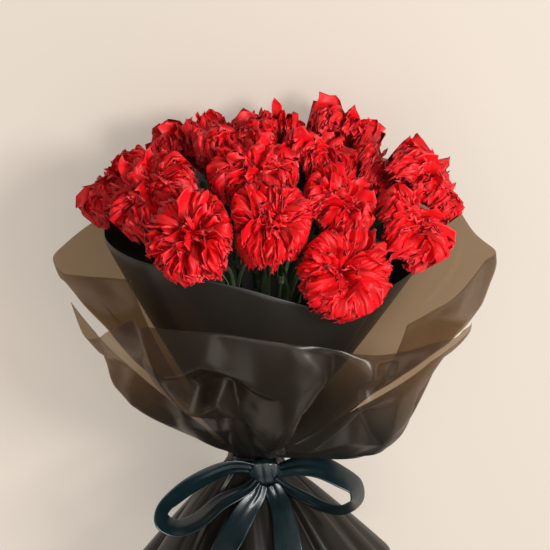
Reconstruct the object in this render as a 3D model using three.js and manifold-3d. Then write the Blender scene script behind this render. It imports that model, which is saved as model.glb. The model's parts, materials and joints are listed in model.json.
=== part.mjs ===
// A hand-tied bunch of fifteen carnations in a wrap of smoky film over a black
// inner collar, tied at the neck with a satin ribbon bow. It lies on its back.
//
// The pieces are laid out in the bunch's own frame: the tie point is the origin,
// +Z runs up the stems to the blooms, +X is to the right and -Y is the front.
// The whole bunch is then laid down, so the front faces up and the blooms point
// along +Y. Millimetres.

import * as THREE from 'three';
import { mergeVertices } from 'three/addons/utils/BufferGeometryUtils.js';
import Module from 'manifold-3d';

const wasm = await Module();
wasm.setup();

// ---------------------------------------------------------------- driving sizes

const spread = 1.0;             // how wide the whole bunch opens, 1 as tied
const bunchHeight = 1.0;        // how far the blooms and rims stand above the tie, 1 as tied
const backAir = 4.8;            // the lowest bloom stays this far above the surface below it

const bloomRadius = 37;
const bloomCrown = 23;          // from the widest plane to the top of the petals
const bloomRoot = 23;           // from the widest plane down to the calyx mouth
const mouthRadius = 6.5;        // where the petals leave the calyx
const calyxLength = 27;
const calyxRadius = 7.5;
const aimHeight = 140;          // the blooms face away from a point this high on the axis
const aimSide = 10;

const stemDiameter = 4;
const stemTail = 118;           // stem length below the tie
const kneeLength = 26;          // over which a stem bends into its calyx
const bundleShare = 0.075;      // a stem's place in the tie, as a share of its bloom's reach
const stemRoom = 1.22;          // stems lie this many diameters apart at each level
const twist = 70;               // degrees that each stem lags its bloom at the tie
const leafLength = 46;
const leafWidth = 6;
const leafThickness = 0.9;
const leafDrop = 30;            // from the knee down to the leaf joint
const leafSheath = 7;
const leafClearance = 0.5;      // between the sheath and its stem

const clearance = 0.3;          // between pieces that touch
const film = 0.6;               // wrap sheet thickness
const filmAir = 0.55;           // between wrap layers at the neck
const flareDrop = 0.8;          // an outer layer flares this much lower, as a share of its step out
const sheetAir = 4.5;           // and away from the neck, at least
const neckSpare = 5;            // the gathered neck runs on this far past the ribbon band
const twine = 1.2;              // stem binding thickness
const skirtDepth = 132;         // hem of the wrap below the tie
const skirtRadius = 110;
const skirtBack = 0.16;         // the side it lies on is pressed out by this share
const skirtSide = 12;           // the hem is drawn this far to the right
const pleatCount = 11;
const pleatDepth = 7;

const ribbonWidth = 25;
const ribbonThickness = 0.8;
const ribbonAir = 4;            // between the bow and the wrap under it, at least
const bandWidth = 14;
const neckHalf = bandWidth / 2 + neckSpare;
const knotSize = new THREE.Vector3( 21, 12, 20 );

// ---------------------------------------------------------------- placements

// Bloom centres: turn about the axis (0 right, 90 back, 180 left, 270 front),
// distance from the axis, height above the tie.
const blooms = [
	[ 169, 109, 238 ],
	[ 213, 92, 257 ],
	[ 130, 79, 259 ],
	[ 123, 24, 275 ],
	[ 78, 84, 258 ],
	[ 273, 40, 268 ],
	[ 248, 118, 246 ],
	[ 277, 96, 250 ],
	[ 16, 53, 264 ],
	[ 46, 103, 264 ],
	[ 20, 104, 244 ],
	[ 0, 137, 249 ],
	[ 324, 84, 246 ],
	[ 340, 129, 230 ],
	[ 302, 129, 217 ],
];

// Black inner collar, one sheet rolled past its own start: turn, waist radius and
// height, rim radius, and the height that the rim stays a bloom's radius below.
const collarStart = 300;
const collarTurn = 380;
const collarColumns = 22;
const collarCreep = 2.6;        // how far the outer end stands off the start
const neckCreep = 1.2;          // and at the neck
const collarStations = [
	[ 0, 92, 112, 148, 244 ],
	[ 30, 90, 112, 138, 249 ],
	[ 60, 84, 112, 126, 247 ],
	[ 90, 80, 112, 116, 245 ],
	[ 120, 82, 112, 126, 245 ],
	[ 150, 84, 118, 130, 245 ],
	[ 180, 86, 124, 125, 244 ],
	[ 200, 84, 124, 124, 248 ],
	[ 233, 84, 120, 119, 249 ],
	[ 250, 82, 118, 116, 245 ],
	[ 265, 82, 116, 115, 241 ],
	[ 284, 84, 112, 120, 229 ],
	[ 305, 90, 108, 127, 215 ],
	[ 323, 94, 108, 135, 227 ],
	[ 344, 94, 110, 148, 234 ],
	[ 360, 92, 112, 148, 244 ],
];

// Outer sheets: turn, belly radius and height, rim radius and height, and how
// tightly the sheet turns at the belly.
const leftStations = [
	[ 80, 129, 96, 130, 226, 1.6 ],
	[ 92, 127, 98, 128, 226, 1.6 ],
	[ 106, 132, 100, 133, 222, 1.5 ],
	[ 120, 142, 98, 148, 212, 1.4 ],
	[ 134, 116, 94, 158, 203, 1 ],
	[ 147, 108, 92, 157, 196, 0.9 ],
	[ 158, 102, 92, 163, 190, 0.8 ],
	[ 166, 100, 92, 169, 185, 0.7 ],
	[ 174, 100, 94, 174, 181, 0.6 ],
	[ 185, 102, 98, 163, 180, 0.7 ],
	[ 194, 102, 104, 150, 186, 0.9 ],
	[ 205, 102, 108, 134, 192, 1 ],
	[ 217, 102, 112, 126, 198, 1 ],
];
const rightStations = [
	[ 317, 144, 92, 170, 175, 1.4 ],
	[ 326, 146, 94, 174, 178, 1.4 ],
	[ 335, 150, 96, 180, 180, 1.4 ],
	[ 346, 156, 98, 186, 185, 1.4 ],
	[ 356, 160, 100, 196, 190, 1.4 ],
	[ 363, 162, 102, 208, 188, 1.4 ],
	[ 370, 158, 102, 202, 190, 1.3 ],
	[ 377, 150, 102, 190, 201, 1.2 ],
	[ 384, 146, 102, 189, 212, 1.2 ],
	[ 396, 140, 100, 184, 222, 1.2 ],
	[ 411, 148, 98, 164, 238, 1.5 ],
	[ 428, 136, 96, 139, 238, 1.6 ],
	[ 442, 128, 96, 130, 234, 1.6 ],
	[ 456, 128, 96, 130, 230, 1.6 ],
];
const frontStations = [
	[ 184, 124, 100, 157, 151, 1.5 ],
	[ 190, 124, 94, 147, 126, 1.5 ],
	[ 198, 120, 88, 139, 132, 1.6 ],
	[ 208, 122, 84, 140, 146, 1.6 ],
	[ 222, 116, 74, 142, 168, 1.5 ],
	[ 234, 130, 82, 146, 177, 1.5 ],
	[ 247, 108, 66, 148, 181, 1.5 ],
	[ 259, 130, 76, 150, 182, 1.5 ],
	[ 271, 106, 56, 151, 178, 1.5 ],
	[ 283, 132, 66, 154, 173, 1.5 ],
	[ 295, 114, 48, 159, 166, 1.6 ],
	[ 306, 138, 54, 162, 157, 1.8 ],
	[ 318, 136, 32, 168, 153, 2.2 ],
	[ 330, 150, 32, 176, 150, 2.4 ],
	[ 344, 150, 64, 182, 141, 1.9 ],
	[ 355, 150, 80, 182, 134, 1.6 ],
];
const widestStep = 13;          // degrees between the lines of a sheet
const overlapLift = 2.4;        // the left sheet lies this far inside the right one at the back
const overlapTurn = 104;        // where that overlap ends

// Bow, in the bunch's frame: the middle line of each ribbon, chosen by hand.
const knotSide = 9;
const leftLoopLine = [
	[ - 3, - 31, 3 ], [ - 20, - 36, 6 ], [ - 42, - 41, - 1 ], [ - 64, - 44, - 14 ], [ - 78, - 46, - 29 ],
	[ - 79, - 46, - 41 ], [ - 69, - 46, - 47 ], [ - 50, - 48, - 40 ], [ - 28, - 47, - 21 ], [ - 5, - 40, - 11 ],
];
const rightLoopLine = [
	[ 22, - 30, 1 ], [ 36, - 35, 7 ], [ 54, - 38, 8 ], [ 72, - 40, 1 ], [ 88, - 40, - 10 ],
	[ 89, - 40, - 24 ], [ 78, - 40, - 33 ], [ 60, - 40, - 31 ], [ 42, - 39, - 22 ], [ 24, - 36, - 11 ],
];
const leftTailLine = [
	[ 2, - 40, - 19 ], [ - 6, - 48, - 28 ], [ - 20, - 64, - 46 ], [ - 34, - 82, - 68 ], [ - 44, - 96, - 88 ],
];
const rightTailLine = [
	[ 19, - 40, - 20 ], [ 24, - 52, - 30 ], [ 29, - 72, - 52 ], [ 33, - 94, - 78 ], [ 36, - 112, - 102 ],
];

// ---------------------------------------------------------------- finishes

const finish = ( color, roughness, metalness = 0 ) =>
	() => new THREE.MeshStandardMaterial( { color, roughness, metalness } );
const petalRed = finish( 0xc8141c, 0.7 );
const stemGreen = finish( 0x6f8a58, 0.6 );
const leafGreen = finish( 0x7b9164, 0.6 );
const collarBlack = finish( 0x1b1a18, 0.5 );
const smokyFilm = finish( 0x4a3f34, 0.35 );
const twineTan = finish( 0xa98c5f, 0.9 );
const satinTeal = finish( 0x24363a, 0.35 );

// ---------------------------------------------------------------- solids

const turned = ( degrees, radius, z ) => {

	const angle = THREE.MathUtils.degToRad( degrees );
	return new THREE.Vector3( Math.cos( angle ) * radius, Math.sin( angle ) * radius, z );

};

function welded( geometry ) {

	geometry.deleteAttribute( 'normal' );
	geometry.deleteAttribute( 'uv' );
	return mergeVertices( geometry, 1e-4 );

}

function toSolid( geometry ) {

	const merged = welded( geometry );
	return new wasm.Manifold( new wasm.Mesh( {
		numProp: 3,
		vertProperties: new Float32Array( merged.attributes.position.array ),
		triVerts: new Uint32Array( merged.index.array ),
	} ) );

}

function toGeometry( solid ) {

	const mesh = solid.getMesh();
	const geometry = new THREE.BufferGeometry();
	geometry.setAttribute( 'position', new THREE.BufferAttribute( mesh.vertProperties, 3 ) );
	geometry.setIndex( new THREE.BufferAttribute( mesh.triVerts, 1 ) );
	geometry.computeVertexNormals();
	return geometry;

}

// A thin closed shell over a grid of points, grid[ column ][ row ]. The outer skin
// is on the side that the normal of (along columns) x (along rows) points to. Both
// skins are split along the same diagonals, so a twisted sheet never meets itself.
function shell( grid, thickness, place = ( point ) => point ) {

	const columns = grid.length;
	const rows = grid[ 0 ].length;
	const at = ( c, r ) => grid[ THREE.MathUtils.clamp( c, 0, columns - 1 ) ][ THREE.MathUtils.clamp( r, 0, rows - 1 ) ];
	const outer = ( c, r ) => c * rows + r;
	const inner = ( c, r ) => columns * rows + outer( c, r );
	const positions = [];
	const index = [];
	const square = ( a, b, c, d ) => index.push( a, b, c, a, c, d );

	for ( const side of [ 0.5, - 0.5 ] ) {

		for ( let c = 0; c < columns; c ++ ) {

			for ( let r = 0; r < rows; r ++ ) {

				const across = at( c + 1, r ).clone().sub( at( c - 1, r ) );
				const up = at( c, r + 1 ).clone().sub( at( c, r - 1 ) );
				const normal = across.cross( up ).normalize();
				const point = place( at( c, r ).clone().addScaledVector( normal, side * thickness ), side, at( c, r ) );
				positions.push( ...point.toArray() );

			}

		}

	}

	for ( let c = 0; c < columns - 1; c ++ ) {

		for ( let r = 0; r < rows - 1; r ++ ) {

			square( outer( c, r ), outer( c + 1, r ), outer( c + 1, r + 1 ), outer( c, r + 1 ) );
			square( inner( c, r ), inner( c, r + 1 ), inner( c + 1, r + 1 ), inner( c + 1, r ) );

		}

	}

	for ( let c = 0; c < columns - 1; c ++ ) {

		square( outer( c + 1, 0 ), outer( c, 0 ), inner( c, 0 ), inner( c + 1, 0 ) );
		square( outer( c, rows - 1 ), outer( c + 1, rows - 1 ), inner( c + 1, rows - 1 ), inner( c, rows - 1 ) );

	}

	for ( let r = 0; r < rows - 1; r ++ ) {

		square( outer( 0, r ), outer( 0, r + 1 ), inner( 0, r + 1 ), inner( 0, r ) );
		square( outer( columns - 1, r + 1 ), outer( columns - 1, r ), inner( columns - 1, r ), inner( columns - 1, r + 1 ) );

	}

	const geometry = new THREE.BufferGeometry();
	geometry.setAttribute( 'position', new THREE.Float32BufferAttribute( positions, 3 ) );
	geometry.setIndex( index );
	return geometry;

}

// ---------------------------------------------------------------- blooms and stems

const stemRadius = stemDiameter / 2;
const bloomCentres = blooms.map( ( [ turn, reach, height ] ) => turned( turn, reach * spread, height * bunchHeight ) );
const backDepth = Math.max( ...bloomCentres.map( ( centre ) => centre.y ) ) + bloomRadius + backAir;
const aim = new THREE.Vector3( aimSide, 0, aimHeight * bunchHeight );
const bloomAxes = bloomCentres.map( ( centre ) => centre.clone().sub( aim ).normalize() );

// Each stem's middle line, from the cut end up. It starts as a straight line from
// the knee through the stem's place in the tie, and then the stems settle: each
// level is drawn together at the tie, and stems that press on each other give way.
const levelHeights = [ - 1, - 0.72, - 0.46, - 0.22, 0, 0.22, 0.46, 0.72, 0.98 ].map( ( share ) => share * stemTail );
const tieLevel = 4;
const settleRounds = 260;

function settledStems() {

	const heels = bloomCentres.map( ( centre, index ) => {

		const axis = bloomAxes[ index ];
		const mouth = centre.clone().addScaledVector( axis, - bloomRoot - clearance );
		const foot = mouth.clone().addScaledVector( axis, - calyxLength );
		const knee = foot.clone().addScaledVector( axis, - kneeLength );
		return { axis, mouth, foot, knee };

	} );
	const lines = heels.map( ( { knee }, index ) => {

		const reach = blooms[ index ][ 1 ];
		const tie = turned( blooms[ index ][ 0 ] - twist, reach * bundleShare, 0 );
		const along = knee.clone().sub( tie );
		return levelHeights.map( ( height ) => tie.clone().addScaledVector( along, height / along.z ) );

	} );
	const top = levelHeights.length;
	const flat = new THREE.Vector3();

	for ( let round = 0; round < settleRounds; round ++ ) {

		const easing = round < settleRounds * 0.75 ? 0.25 : 0.04;

		for ( let level = 0; level < top; level ++ ) {

			const draw = level === tieLevel ? 0.02 : 0;
			lines.forEach( ( line ) => line[ level ].multiply( flat.set( 1 - draw, 1 - draw, 1 ) ) );

			for ( let i = 0; i < lines.length; i ++ ) {

				for ( let k = i + 1; k < lines.length; k ++ ) {

					const a = lines[ i ][ level ];
					const b = lines[ k ][ level ];
					const apart = flat.subVectors( a, b );
					const distance = Math.max( apart.length(), 1e-3 );
					const room = stemDiameter * stemRoom + clearance;
					if ( distance >= room ) continue;
					apart.multiplyScalar( ( room - distance ) / distance / 2 );
					a.add( apart );
					b.sub( apart );

				}

			}

		}

		lines.forEach( ( line, index ) => {

			const upper = heels[ index ].knee;
			line.forEach( ( point, level ) => {

				if ( level === 0 ) return;
				const above = level + 1 < top ? line[ level + 1 ] : upper;
				const below = line[ level - 1 ];
				const share = ( point.z - below.z ) / ( above.z - below.z );
				const straight = below.clone().lerp( above, share );
				point.x += ( straight.x - point.x ) * easing;
				point.y += ( straight.y - point.y ) * easing;

			} );

		} );

	}

	return heels.map( ( heel, index ) => ( { ...heel, line: lines[ index ] } ) );

}

const stems = settledStems();
const tieReach = Math.max( ...stems.map( ( _, index ) => {

	const curve = stemPath( index );
	const points = curve.getSpacedPoints( 120 ).filter( ( point ) => Math.abs( point.z ) < neckHalf );
	return Math.max( ...points.map( ( point ) => Math.hypot( point.x, point.y ) ) );

} ) );
const bundleRadius = tieReach + stemRadius + clearance;

const bloomProfile = () => [
	[ 0, - bloomRoot ],
	[ mouthRadius, - bloomRoot ],
	[ bloomRadius * 0.66, - bloomRoot * 0.5 ],
	[ bloomRadius * 0.97, - bloomRoot * 0.12 ],
	[ bloomRadius, bloomCrown * 0.22 ],
	[ bloomRadius * 0.84, bloomCrown * 0.66 ],
	[ bloomRadius * 0.5, bloomCrown * 0.94 ],
	[ 0, bloomCrown ],
].map( ( [ r, z ] ) => new THREE.Vector2( r, z ) );

// Lathes turn about Y; this stands them up along Z.
function standing( profile, segments ) {

	return new THREE.LatheGeometry( profile, segments ).rotateX( Math.PI / 2 );

}

function bloomMesh( index ) {

	const centre = bloomCentres[ index ];
	const turn = new THREE.Quaternion().setFromUnitVectors( new THREE.Vector3( 0, 0, 1 ), bloomAxes[ index ] );
	const back = turn.clone().invert();
	let solid = toSolid( standing( bloomProfile(), 18 ) );

	bloomCentres.forEach( ( other, k ) => {

		if ( k === index ) return;
		const away = centre.clone().sub( other );
		const reach = away.length() / 2 - clearance / 2;
		if ( reach > bloomRadius * 1.1 ) return;
		const normal = away.normalize().applyQuaternion( back );
		solid = solid.trimByPlane( normal.toArray(), - reach );

	} );

	const mesh = new THREE.Mesh( toGeometry( solid ), petalRed() );
	mesh.name = `bloom_${ index + 1 }`;
	mesh.position.copy( centre );
	mesh.quaternion.copy( turn );
	return mesh;

}

function stemPath( index ) {

	const { line, knee, foot, mouth } = stems[ index ];
	return new THREE.CatmullRomCurve3( [ ...line, knee, foot, foot.clone().lerp( mouth, 0.3 ) ], false, 'centripetal' );

}

function stemMesh( index ) {

	const { foot, axis } = stems[ index ];
	const section = new THREE.Shape( Array.from( { length: 8 }, ( _, k ) => {

		const angle = k * Math.PI / 4;
		return new THREE.Vector2( Math.cos( angle ), Math.sin( angle ) ).multiplyScalar( stemRadius );

	} ) );
	const stalk = new THREE.ExtrudeGeometry( section, { steps: 18, extrudePath: stemPath( index ), bevelEnabled: false } );

	const calyxProfile = [
		[ 0, 0 ],
		[ stemRadius * 1.15, 0 ],
		[ calyxRadius * 0.62, calyxLength * 0.16 ],
		[ calyxRadius * 0.86, calyxLength * 0.55 ],
		[ calyxRadius, calyxLength ],
		[ 0, calyxLength ],
	].map( ( [ r, z ] ) => new THREE.Vector2( r, z ) );
	const calyx = standing( calyxProfile, 10 );
	calyx.applyQuaternion( new THREE.Quaternion().setFromUnitVectors( new THREE.Vector3( 0, 0, 1 ), axis ) );
	calyx.translate( foot.x, foot.y, foot.z );

	const mesh = new THREE.Mesh( toGeometry( toSolid( stalk ).add( toSolid( calyx ) ) ), stemGreen() );
	mesh.name = `stem_${ index + 1 }`;
	return mesh;

}

// Two narrow blades that rise from one sheath clasping the stem.
function leafPairMesh( index ) {

	const path = stemPath( index );
	const share = 1 - ( calyxLength * 0.3 + kneeLength + leafDrop ) / path.getLength();
	const joint = path.getPointAt( share );
	const along = path.getTangentAt( share + leafSheath / 2 / path.getLength() );
	const inside = stemRadius + leafClearance;
	const outside = inside + leafThickness;
	const sheath = standing( [
		[ inside, 0 ],
		[ outside, 0 ],
		[ outside, leafSheath ],
		[ inside, leafSheath ],
		[ inside, 0 ],
	].map( ( [ r, z ] ) => new THREE.Vector2( r, z ) ), 10 );
	let solid = toSolid( sheath );

	for ( const side of [ 1, - 1 ] ) {

		const grid = [ - 1, 0, 1 ].map( ( w ) => [ 0, 0.3, 0.65, 1 ].map( ( t ) => {

			const out = inside + leafThickness / 2 + 13 * t * t + 1.5 * t - Math.abs( w ) * 0.3;
			const half = w * leafWidth / 2 * ( 1 - 0.85 * t * t );
			return new THREE.Vector3( out, half, leafSheath * 0.5 + leafLength * t * ( 1 - 0.18 * t ) );

		} ) );
		const blade = shell( grid, leafThickness );
		if ( side < 0 ) blade.rotateZ( Math.PI );
		solid = solid.add( toSolid( blade ) );

	}

	const mesh = new THREE.Mesh( toGeometry( solid ), leafGreen() );
	mesh.name = `leaf_pair_${ index + 1 }`;
	mesh.position.copy( joint );
	mesh.quaternion.setFromUnitVectors( new THREE.Vector3( 0, 0, 1 ), along );
	mesh.rotateZ( index * 1.1 );
	return mesh;

}

// ---------------------------------------------------------------- wrap

const bindingRadius = bundleRadius + clearance;
const layer = film + filmAir;
const collarNeck = bindingRadius + twine + clearance + film / 2;
const collarOuterNeck = collarNeck + neckCreep;
const leftNeck = collarOuterNeck + layer;
const rightNeck = leftNeck + layer;
const frontNeck = rightNeck + layer;
const bandNeck = frontNeck + film / 2 + clearance + ribbonThickness / 2;

function stationAt( stations, turn ) {

	const next = stations.findIndex( ( station ) => station[ 0 ] >= turn );
	if ( next <= 0 ) return stations[ 0 ];
	const [ before, after ] = [ stations[ next - 1 ], stations[ next ] ];
	const share = ( turn - before[ 0 ] ) / ( after[ 0 ] - before[ 0 ] );
	return before.map( ( value, k ) => THREE.MathUtils.lerp( value, after[ k ], share ) );

}

// One upright line of a sheet, from the hem up through the neck to the rim. The
// upper part bends around the belly point, more tightly for a larger pull.
function sheetLine( [ turn, bellyRadius, bellyHeight, rimRadius, rimHeight, pull = 0.5 ], neckRadius, creep = 0 ) {

	const line = [];
	const radians = THREE.MathUtils.degToRad( turn );
	const layerRise = neckRadius - collarNeck;

	for ( const share of [ 1, 0.68, 0.34 ] ) {

		const pleat = pleatDepth * share * Math.cos( pleatCount * radians );
		const hem = skirtRadius * spread * ( 1 + skirtBack * Math.max( 0, Math.sin( radians ) ) );
		const radius = neckRadius + ( hem - neckRadius ) * share ** 0.9 + pleat + layerRise * 1.6 * share;
		line.push( turned( turn, radius, - neckHalf - ( skirtDepth - neckHalf ) * share ) );

	}

	line.push( turned( turn, neckRadius, - neckHalf ) );
	const belly = [ bellyRadius * spread + creep, bellyHeight * bunchHeight ];
	const rim = [ rimRadius * spread + creep, rimHeight * bunchHeight ];

	for ( const share of [ 0, 0.2, 0.4, 0.6, 0.8, 1 ] ) {

		const a = ( 1 - share ) ** 2;
		const b = 2 * pull * share * ( 1 - share );
		const c = share ** 2;
		const radius = ( a * neckRadius + b * belly[ 0 ] + c * rim[ 0 ] ) / ( a + b + c );
		const height = ( a * ( neckHalf - layerRise * flareDrop ) + b * belly[ 1 ] + c * rim[ 1 ] ) / ( a + b + c );
		line.push( turned( turn, radius, height ) );

	}

	return line;

}

// How far out the sheets already wrapped reach, at a turn and a height.
const wrapped = [];

function reachOf( line, height ) {

	const next = line.findIndex( ( point ) => point.z > height );
	if ( next <= 0 ) return 0;
	const [ below, above ] = [ line[ next - 1 ], line[ next ] ];
	const share = ( height - below.z ) / ( above.z - below.z );
	const point = below.clone().lerp( above, share );
	return Math.hypot( point.x, point.y );

}

function wrappedReach( turn, height ) {

	let reach = 0;

	for ( const { turns, grid } of wrapped ) {

		const step = turns[ 1 ] - turns[ 0 ];

		grid.forEach( ( line, column ) => {

			const away = Math.abs( THREE.MathUtils.euclideanModulo( turns[ column ] - turn + 180, 360 ) - 180 );
			if ( away < step * 1.05 ) reach = Math.max( reach, reachOf( line, height ) );

		} );

	}

	return reach;

}

// A point that would go below a level moves in towards the axis until it is on it.
function pressTo( point, level ) {

	const share = Math.min( 1, level / Math.max( point.y, 1e-6 ) );
	point.x *= share;
	point.y *= share;

}

// The skirt is drawn to one side, more towards the hem.
function drawnAside( line ) {

	line.forEach( ( point ) => {

		const share = Math.max( 0, - point.z - neckHalf ) / ( skirtDepth - neckHalf );
		point.x += skirtSide * share;

	} );

}

// A sheet goes round what is already wrapped, with more air away from the neck.
function wrappedRound( turn, line ) {

	return line.map( ( point ) => {

		const reach = wrappedReach( turn, point.z );
		if ( reach === 0 ) return point;
		const fromNeck = Math.max( 0, Math.abs( point.z ) - neckHalf );
		const air = Math.min( sheetAir, layer + fromNeck * 0.12 );
		return turned( turn, Math.max( Math.hypot( point.x, point.y ), reach + air ), point.z );

	} );

}

// Where a sheet lies on the surface under the bunch it is flat, and nothing goes lower.
const restingOn = ( level ) => ( point, side, middle ) => {

	const skin = level - ( side > 0 ? 0 : film );
	const rests = middle.y > level - film / 2 - 1e-6;
	point.y = rests ? skin : Math.min( point.y, skin );
	return point;

};

// A line halfway between two stations that stand far apart.
function closedUp( stations ) {

	return stations.flatMap( ( station, k ) => {

		const before = stations[ k - 1 ];
		if ( ! before || station[ 0 ] - before[ 0 ] <= widestStep ) return [ station ];
		return [ stationAt( stations, ( before[ 0 ] + station[ 0 ] ) / 2 ), station ];

	} );

}

function outerSheet( name, chosen, neckRadius, levelAt = () => backDepth ) {

	const stations = closedUp( chosen );
	const grid = stations.map( ( station ) => {

		const level = levelAt( station[ 0 ] ) - film / 2;
		const line = wrappedRound( station[ 0 ], sheetLine( station, neckRadius ) );
		line.forEach( ( point ) => pressTo( point, level ) );
		return line;

	} );
	wrapped.push( { turns: stations.map( ( station ) => station[ 0 ] ), grid: grid.map( ( line ) => line.map( ( point ) => point.clone() ) ) } );
	grid.forEach( drawnAside );
	const mesh = new THREE.Mesh( shell( grid, film, restingOn( backDepth ) ), smokyFilm() );
	mesh.name = name;
	return mesh;

}

function collarMesh() {

	const inside = backDepth - 2 * overlapLift - 2 * film;
	const shares = Array.from( { length: collarColumns + 1 }, ( _, k ) => k / collarColumns );
	const turns = shares.map( ( share ) => collarStart + collarTurn * share );
	const grid = turns.map( ( turn, k ) => {

		const station = stationAt( collarStations, turn % 360 );
		const neckRadius = collarNeck + neckCreep * shares[ k ];
		const rimHeight = station[ 4 ] - bloomRadius / bunchHeight;
		const line = sheetLine( [ turn, ...station.slice( 1, 4 ), rimHeight ], neckRadius, collarCreep * shares[ k ] );
		line.forEach( ( point ) => pressTo( point, inside ) );
		return line;

	} );
	wrapped.push( { turns, grid: grid.map( ( line ) => line.map( ( point ) => point.clone() ) ) } );
	grid.forEach( drawnAside );
	const mesh = new THREE.Mesh( shell( grid, film ), collarBlack() );
	mesh.name = 'wrap_inner_collar';
	return mesh;

}

// ---------------------------------------------------------------- tie

function ring( name, insideRadius, outsideRadius, width, material ) {

	const profile = [
		[ insideRadius, - width / 2 ],
		[ outsideRadius, - width / 2 ],
		[ outsideRadius, width / 2 ],
		[ insideRadius, width / 2 ],
		[ insideRadius, - width / 2 ],
	].map( ( [ r, z ] ) => new THREE.Vector2( r, z ) );
	const mesh = new THREE.Mesh( welded( standing( profile, 32 ) ), material );
	mesh.name = name;
	return mesh;

}

// A ribbon stays clear of the wrap under it.
function overWrap( point ) {

	const aside = skirtSide * Math.max( 0, - point.z - neckHalf ) / ( skirtDepth - neckHalf );
	const turn = THREE.MathUtils.radToDeg( Math.atan2( point.y, point.x - aside ) );
	const least = wrappedReach( turn, point.z ) + ribbonAir;
	if ( Math.hypot( point.x - aside, point.y ) >= least ) return point;
	const clear = turned( turn, least, point.z );
	clear.x += aside;
	return clear;

}

function ribbonMesh( name, line, steps, widthAt, across ) {

	const curve = new THREE.CatmullRomCurve3( line.map( ( point ) => new THREE.Vector3( ...point ) ) );
	const grid = Array.from( { length: steps + 1 }, ( _, k ) => {

		const share = k / steps;
		const half = across.clone().multiplyScalar( widthAt( share ) / 2 );
		const middle = curve.getPointAt( share );
		return [ middle.clone().sub( half ), middle, middle.clone().add( half ) ].map( overWrap );

	} );
	const mesh = new THREE.Mesh( shell( grid, ribbonThickness ), satinTeal() );
	mesh.name = name;
	return mesh;

}

function knotMesh() {

	const knot = new THREE.SphereGeometry( 0.5, 12, 8 );
	const position = knot.attributes.position;

	for ( let i = 0; i < position.count; i ++ ) {

		const point = new THREE.Vector3().fromBufferAttribute( position, i );
		const square = 0.5 / Math.max( Math.abs( point.x ), Math.abs( point.y ), Math.abs( point.z ) );
		point.lerp( point.clone().multiplyScalar( square ), 0.55 ).multiply( knotSize );
		position.setXYZ( i, point.x, point.y, point.z );

	}

	const mesh = new THREE.Mesh( welded( knot ), satinTeal() );
	mesh.name = 'ribbon_knot';
	mesh.position.set( knotSide, - bandNeck - ribbonThickness / 2 - clearance - knotSize.y / 2, - 1 );
	return mesh;

}

// ---------------------------------------------------------------- the bunch

const bunch = new THREE.Group();
blooms.forEach( ( _, index ) => bunch.add( bloomMesh( index ), stemMesh( index ), leafPairMesh( index ) ) );
bunch.add( ring( 'stem_binding', bindingRadius, bindingRadius + twine, bandWidth, twineTan() ) );
bunch.add( collarMesh() );
bunch.add( outerSheet( 'wrap_left', leftStations, leftNeck, ( turn ) => backDepth - ( turn < overlapTurn ? overlapLift : 0 ) ) );
bunch.add( outerSheet( 'wrap_right', rightStations, rightNeck ) );
bunch.add( outerSheet( 'wrap_front', frontStations, frontNeck ) );
bunch.add( ring( 'ribbon_band', bandNeck - ribbonThickness / 2, bandNeck + ribbonThickness / 2, bandWidth, satinTeal() ) );
bunch.add( knotMesh() );

const leftAcross = new THREE.Vector3( 0, - 0.66, 0.75 );
const rightAcross = new THREE.Vector3( 0, - 0.5, 0.86 );
const pinched = ( share ) => ribbonWidth * ( 0.5 + 0.5 * Math.sin( Math.PI * share ) );
const flared = ( share ) => ribbonWidth * ( 0.6 + 0.4 * Math.min( 1, share * 2 ) );
bunch.add( ribbonMesh( 'ribbon_loop_left', leftLoopLine, 20, pinched, leftAcross ) );
bunch.add( ribbonMesh( 'ribbon_loop_right', rightLoopLine, 20, pinched, rightAcross ) );
bunch.add( ribbonMesh( 'ribbon_tail_left', leftTailLine, 7, flared, new THREE.Vector3( 0.86, 0, - 0.5 ) ) );
bunch.add( ribbonMesh( 'ribbon_tail_right', rightTailLine, 7, flared, new THREE.Vector3( 1, 0, - 0.1 ) ) );

// Laid on its back, with the origin under the middle of the bunch.
bunch.rotation.x = - Math.PI / 2;
bunch.position.z = backDepth;
bunch.updateMatrixWorld( true );
const extent = new THREE.Box3().setFromObject( bunch, true );
const middle = extent.getCenter( new THREE.Vector3() );
bunch.position.x = - middle.x;
bunch.position.y = - middle.y;

const object = new THREE.Group();
object.add( bunch );
export default object;
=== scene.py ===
"""A hand-tied bunch of carnations in smoky film, laid out as an add-on.

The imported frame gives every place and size. The pieces are worked out in the
bunch's own frame, in millimetres: the tie is the origin, +z runs up the stems,
+x is to the right and -y is the front. lay_down() puts them in the row frame.
"""

import json
import math

import bpy
import numpy as np
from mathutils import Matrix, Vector
from mathutils.geometry import delaunay_2d_cdt

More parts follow.
